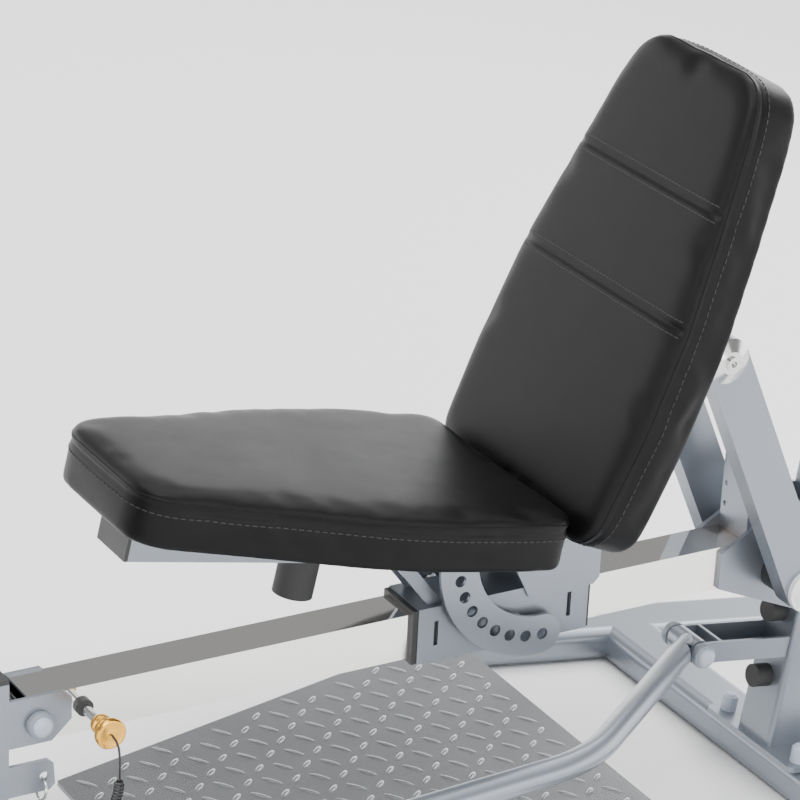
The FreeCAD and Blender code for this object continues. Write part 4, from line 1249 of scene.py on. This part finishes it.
@dataclass
class Lanyard:
    """The curly lanyard from the gold knob down to the clip ring."""

    diameter: float = 0.0024
    turn_radius: float = 0.0046
    pitch: float = 0.0036
    steps: int = 14
    ease_turns: float = 1.5

    def route(self) -> tuple[list[Vector], list[Vector], list[Vector]]:
        """Set out the lanyard between the knob's face and the clip ring.

        Returns:
            The control points of the straight stretch, of the curly one, and of the end on the ring.
        """
        low, high = (Vector(corner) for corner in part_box("stop_knob"))
        face = Vector(((low.x + high.x) / 2, low.y, (low.z + high.z) / 2))
        ring_low, ring_high = (Vector(corner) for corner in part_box("clip_ring"))
        foot = Vector(((ring_low.x + ring_high.x) / 2, (ring_low.y + ring_high.y) / 2, ring_low.z))
        top = face + Vector((0.006, -0.017, -0.038))
        straight = [face, face + Vector((0.0003, -0.011, -0.0006)),
                    face + Vector((0.0024, -0.0174, -0.013)), top]
        curly = [top, top + (top - straight[2]) * 1.2, top + Vector((-0.016, 0.017, -0.058)),
                 Vector((foot.x + 0.014, foot.y - 0.030, 0.049)),
                 Vector((foot.x + 0.002, foot.y - 0.006, 0.046))]
        tail = [foot + Vector((0.001, -0.003, -0.006)), foot]
        return straight, curly, tail

    def spline(self, name: str, points: Sequence[Vector]) -> bpy.types.Object:
        """Add an open NURBS curve.

        Args:
            name: the curve's name.
            points: its control points.

        Returns:
            The curve object.
        """
        curve = bpy.data.curves.new(name, "CURVE")
        curve.dimensions = "3D"
        curve.resolution_u = 12
        line = curve.splines.new("NURBS")
        line.points.add(len(points) - 1)
        for spot, point in zip(line.points, points):
            spot.co = (*point, 1.0)
        line.order_u = 3
        line.use_endpoint_u = True
        item = bpy.data.objects.new(name, curve)
        bpy.context.collection.objects.link(item)
        return item

    def centreline(self, points: Sequence[Vector]) -> list[Vector]:
        """Read points along a route's NURBS curve.

        Args:
            points: the route's control points.

        Returns:
            Points on the curve.
        """
        guide = self.spline("lanyard_guide", points)
        mesh = bpy.data.meshes.new_from_object(guide.evaluated_get(bpy.context.evaluated_depsgraph_get()))
        line = [vertex.co.copy() for vertex in mesh.vertices]
        bpy.data.meshes.remove(mesh)
        bpy.data.objects.remove(guide)
        return line

    def helix(self, line: Sequence[Vector]) -> list[Vector]:
        """Wind turns around a line, easing in from its start and out to its end.

        Args:
            line: points along the middle of the turns.

        Returns:
            Points along the turns.
        """
        lengths = [(b - a).length for a, b in zip(line, line[1:])]
        total = sum(lengths)
        samples = int(total / self.pitch * self.steps)
        side = Vector((1, 0, 0))
        points = []
        index, walked = 0, 0.0
        for number in range(1, samples + 1):
            target = total * number / samples
            while index < len(lengths) - 1 and walked + lengths[index] < target:
                walked += lengths[index]
                index += 1
            along = (line[index + 1] - line[index]).normalized()
            centre = line[index] + along * (target - walked)
            side = (side - along * side.dot(along)).normalized()
            other = along.cross(side)
            angle = 2 * math.pi * number / self.steps
            ease = min(1.0, number / self.steps / self.ease_turns,
                       (samples - number) / self.steps / self.ease_turns)
            outward = side * math.cos(angle) + other * math.sin(angle)
            points.append(centre + outward * self.turn_radius * ease)
        return points

    def build(self, finishes: Finishes) -> None:
        """Args:
            finishes: the machine's finishes.
        """
        straight, curly, tail = self.route()
        points = straight[:-1] + self.helix(self.centreline(curly)) + tail
        cord = self.spline("lanyard", points)
        cord.data.bevel_depth = self.diameter / 2
        cord.data.bevel_resolution = 3
        cord.data.resolution_u = 2
        length = sum((b - a).length for a, b in zip(points, points[1:]))
        cord.data.materials.append(finishes.made["cord_sheath"])
        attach(cord, Body.STOP_PIN.value)
        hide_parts("lanyard_cord", "lanyard_coil")
        LOG.info("lanyard: %.3f m", length)


def main() -> None:
    """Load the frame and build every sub-assembly."""
    logging.basicConfig(level=logging.INFO, format="%(name)s: %(message)s")
    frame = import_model()
    finishes = Finishes()
    finishes.build()
    for name, node in frame["nodes"].items():
        finishes.wear(node, NODE_FINISH.get(name, "silver_paint"))
    Studio().build()
    Lanyard().build(finishes)
    hinge = next(joint for joint in frame["joints"] if joint["name"] == "backrest_hinge")
    Upholstery(Vector(hinge["pos_m"])).build(finishes)
    TreadLugs().build(finishes)
    Fittings().build(finishes)
    knobs = Knobs()
    knobs.stop(finishes)
    knobs.lock(finishes)
    Grip(frame["nodes"]["lever_grip"]).build(finishes)


if __name__ == "__main__":
    main()
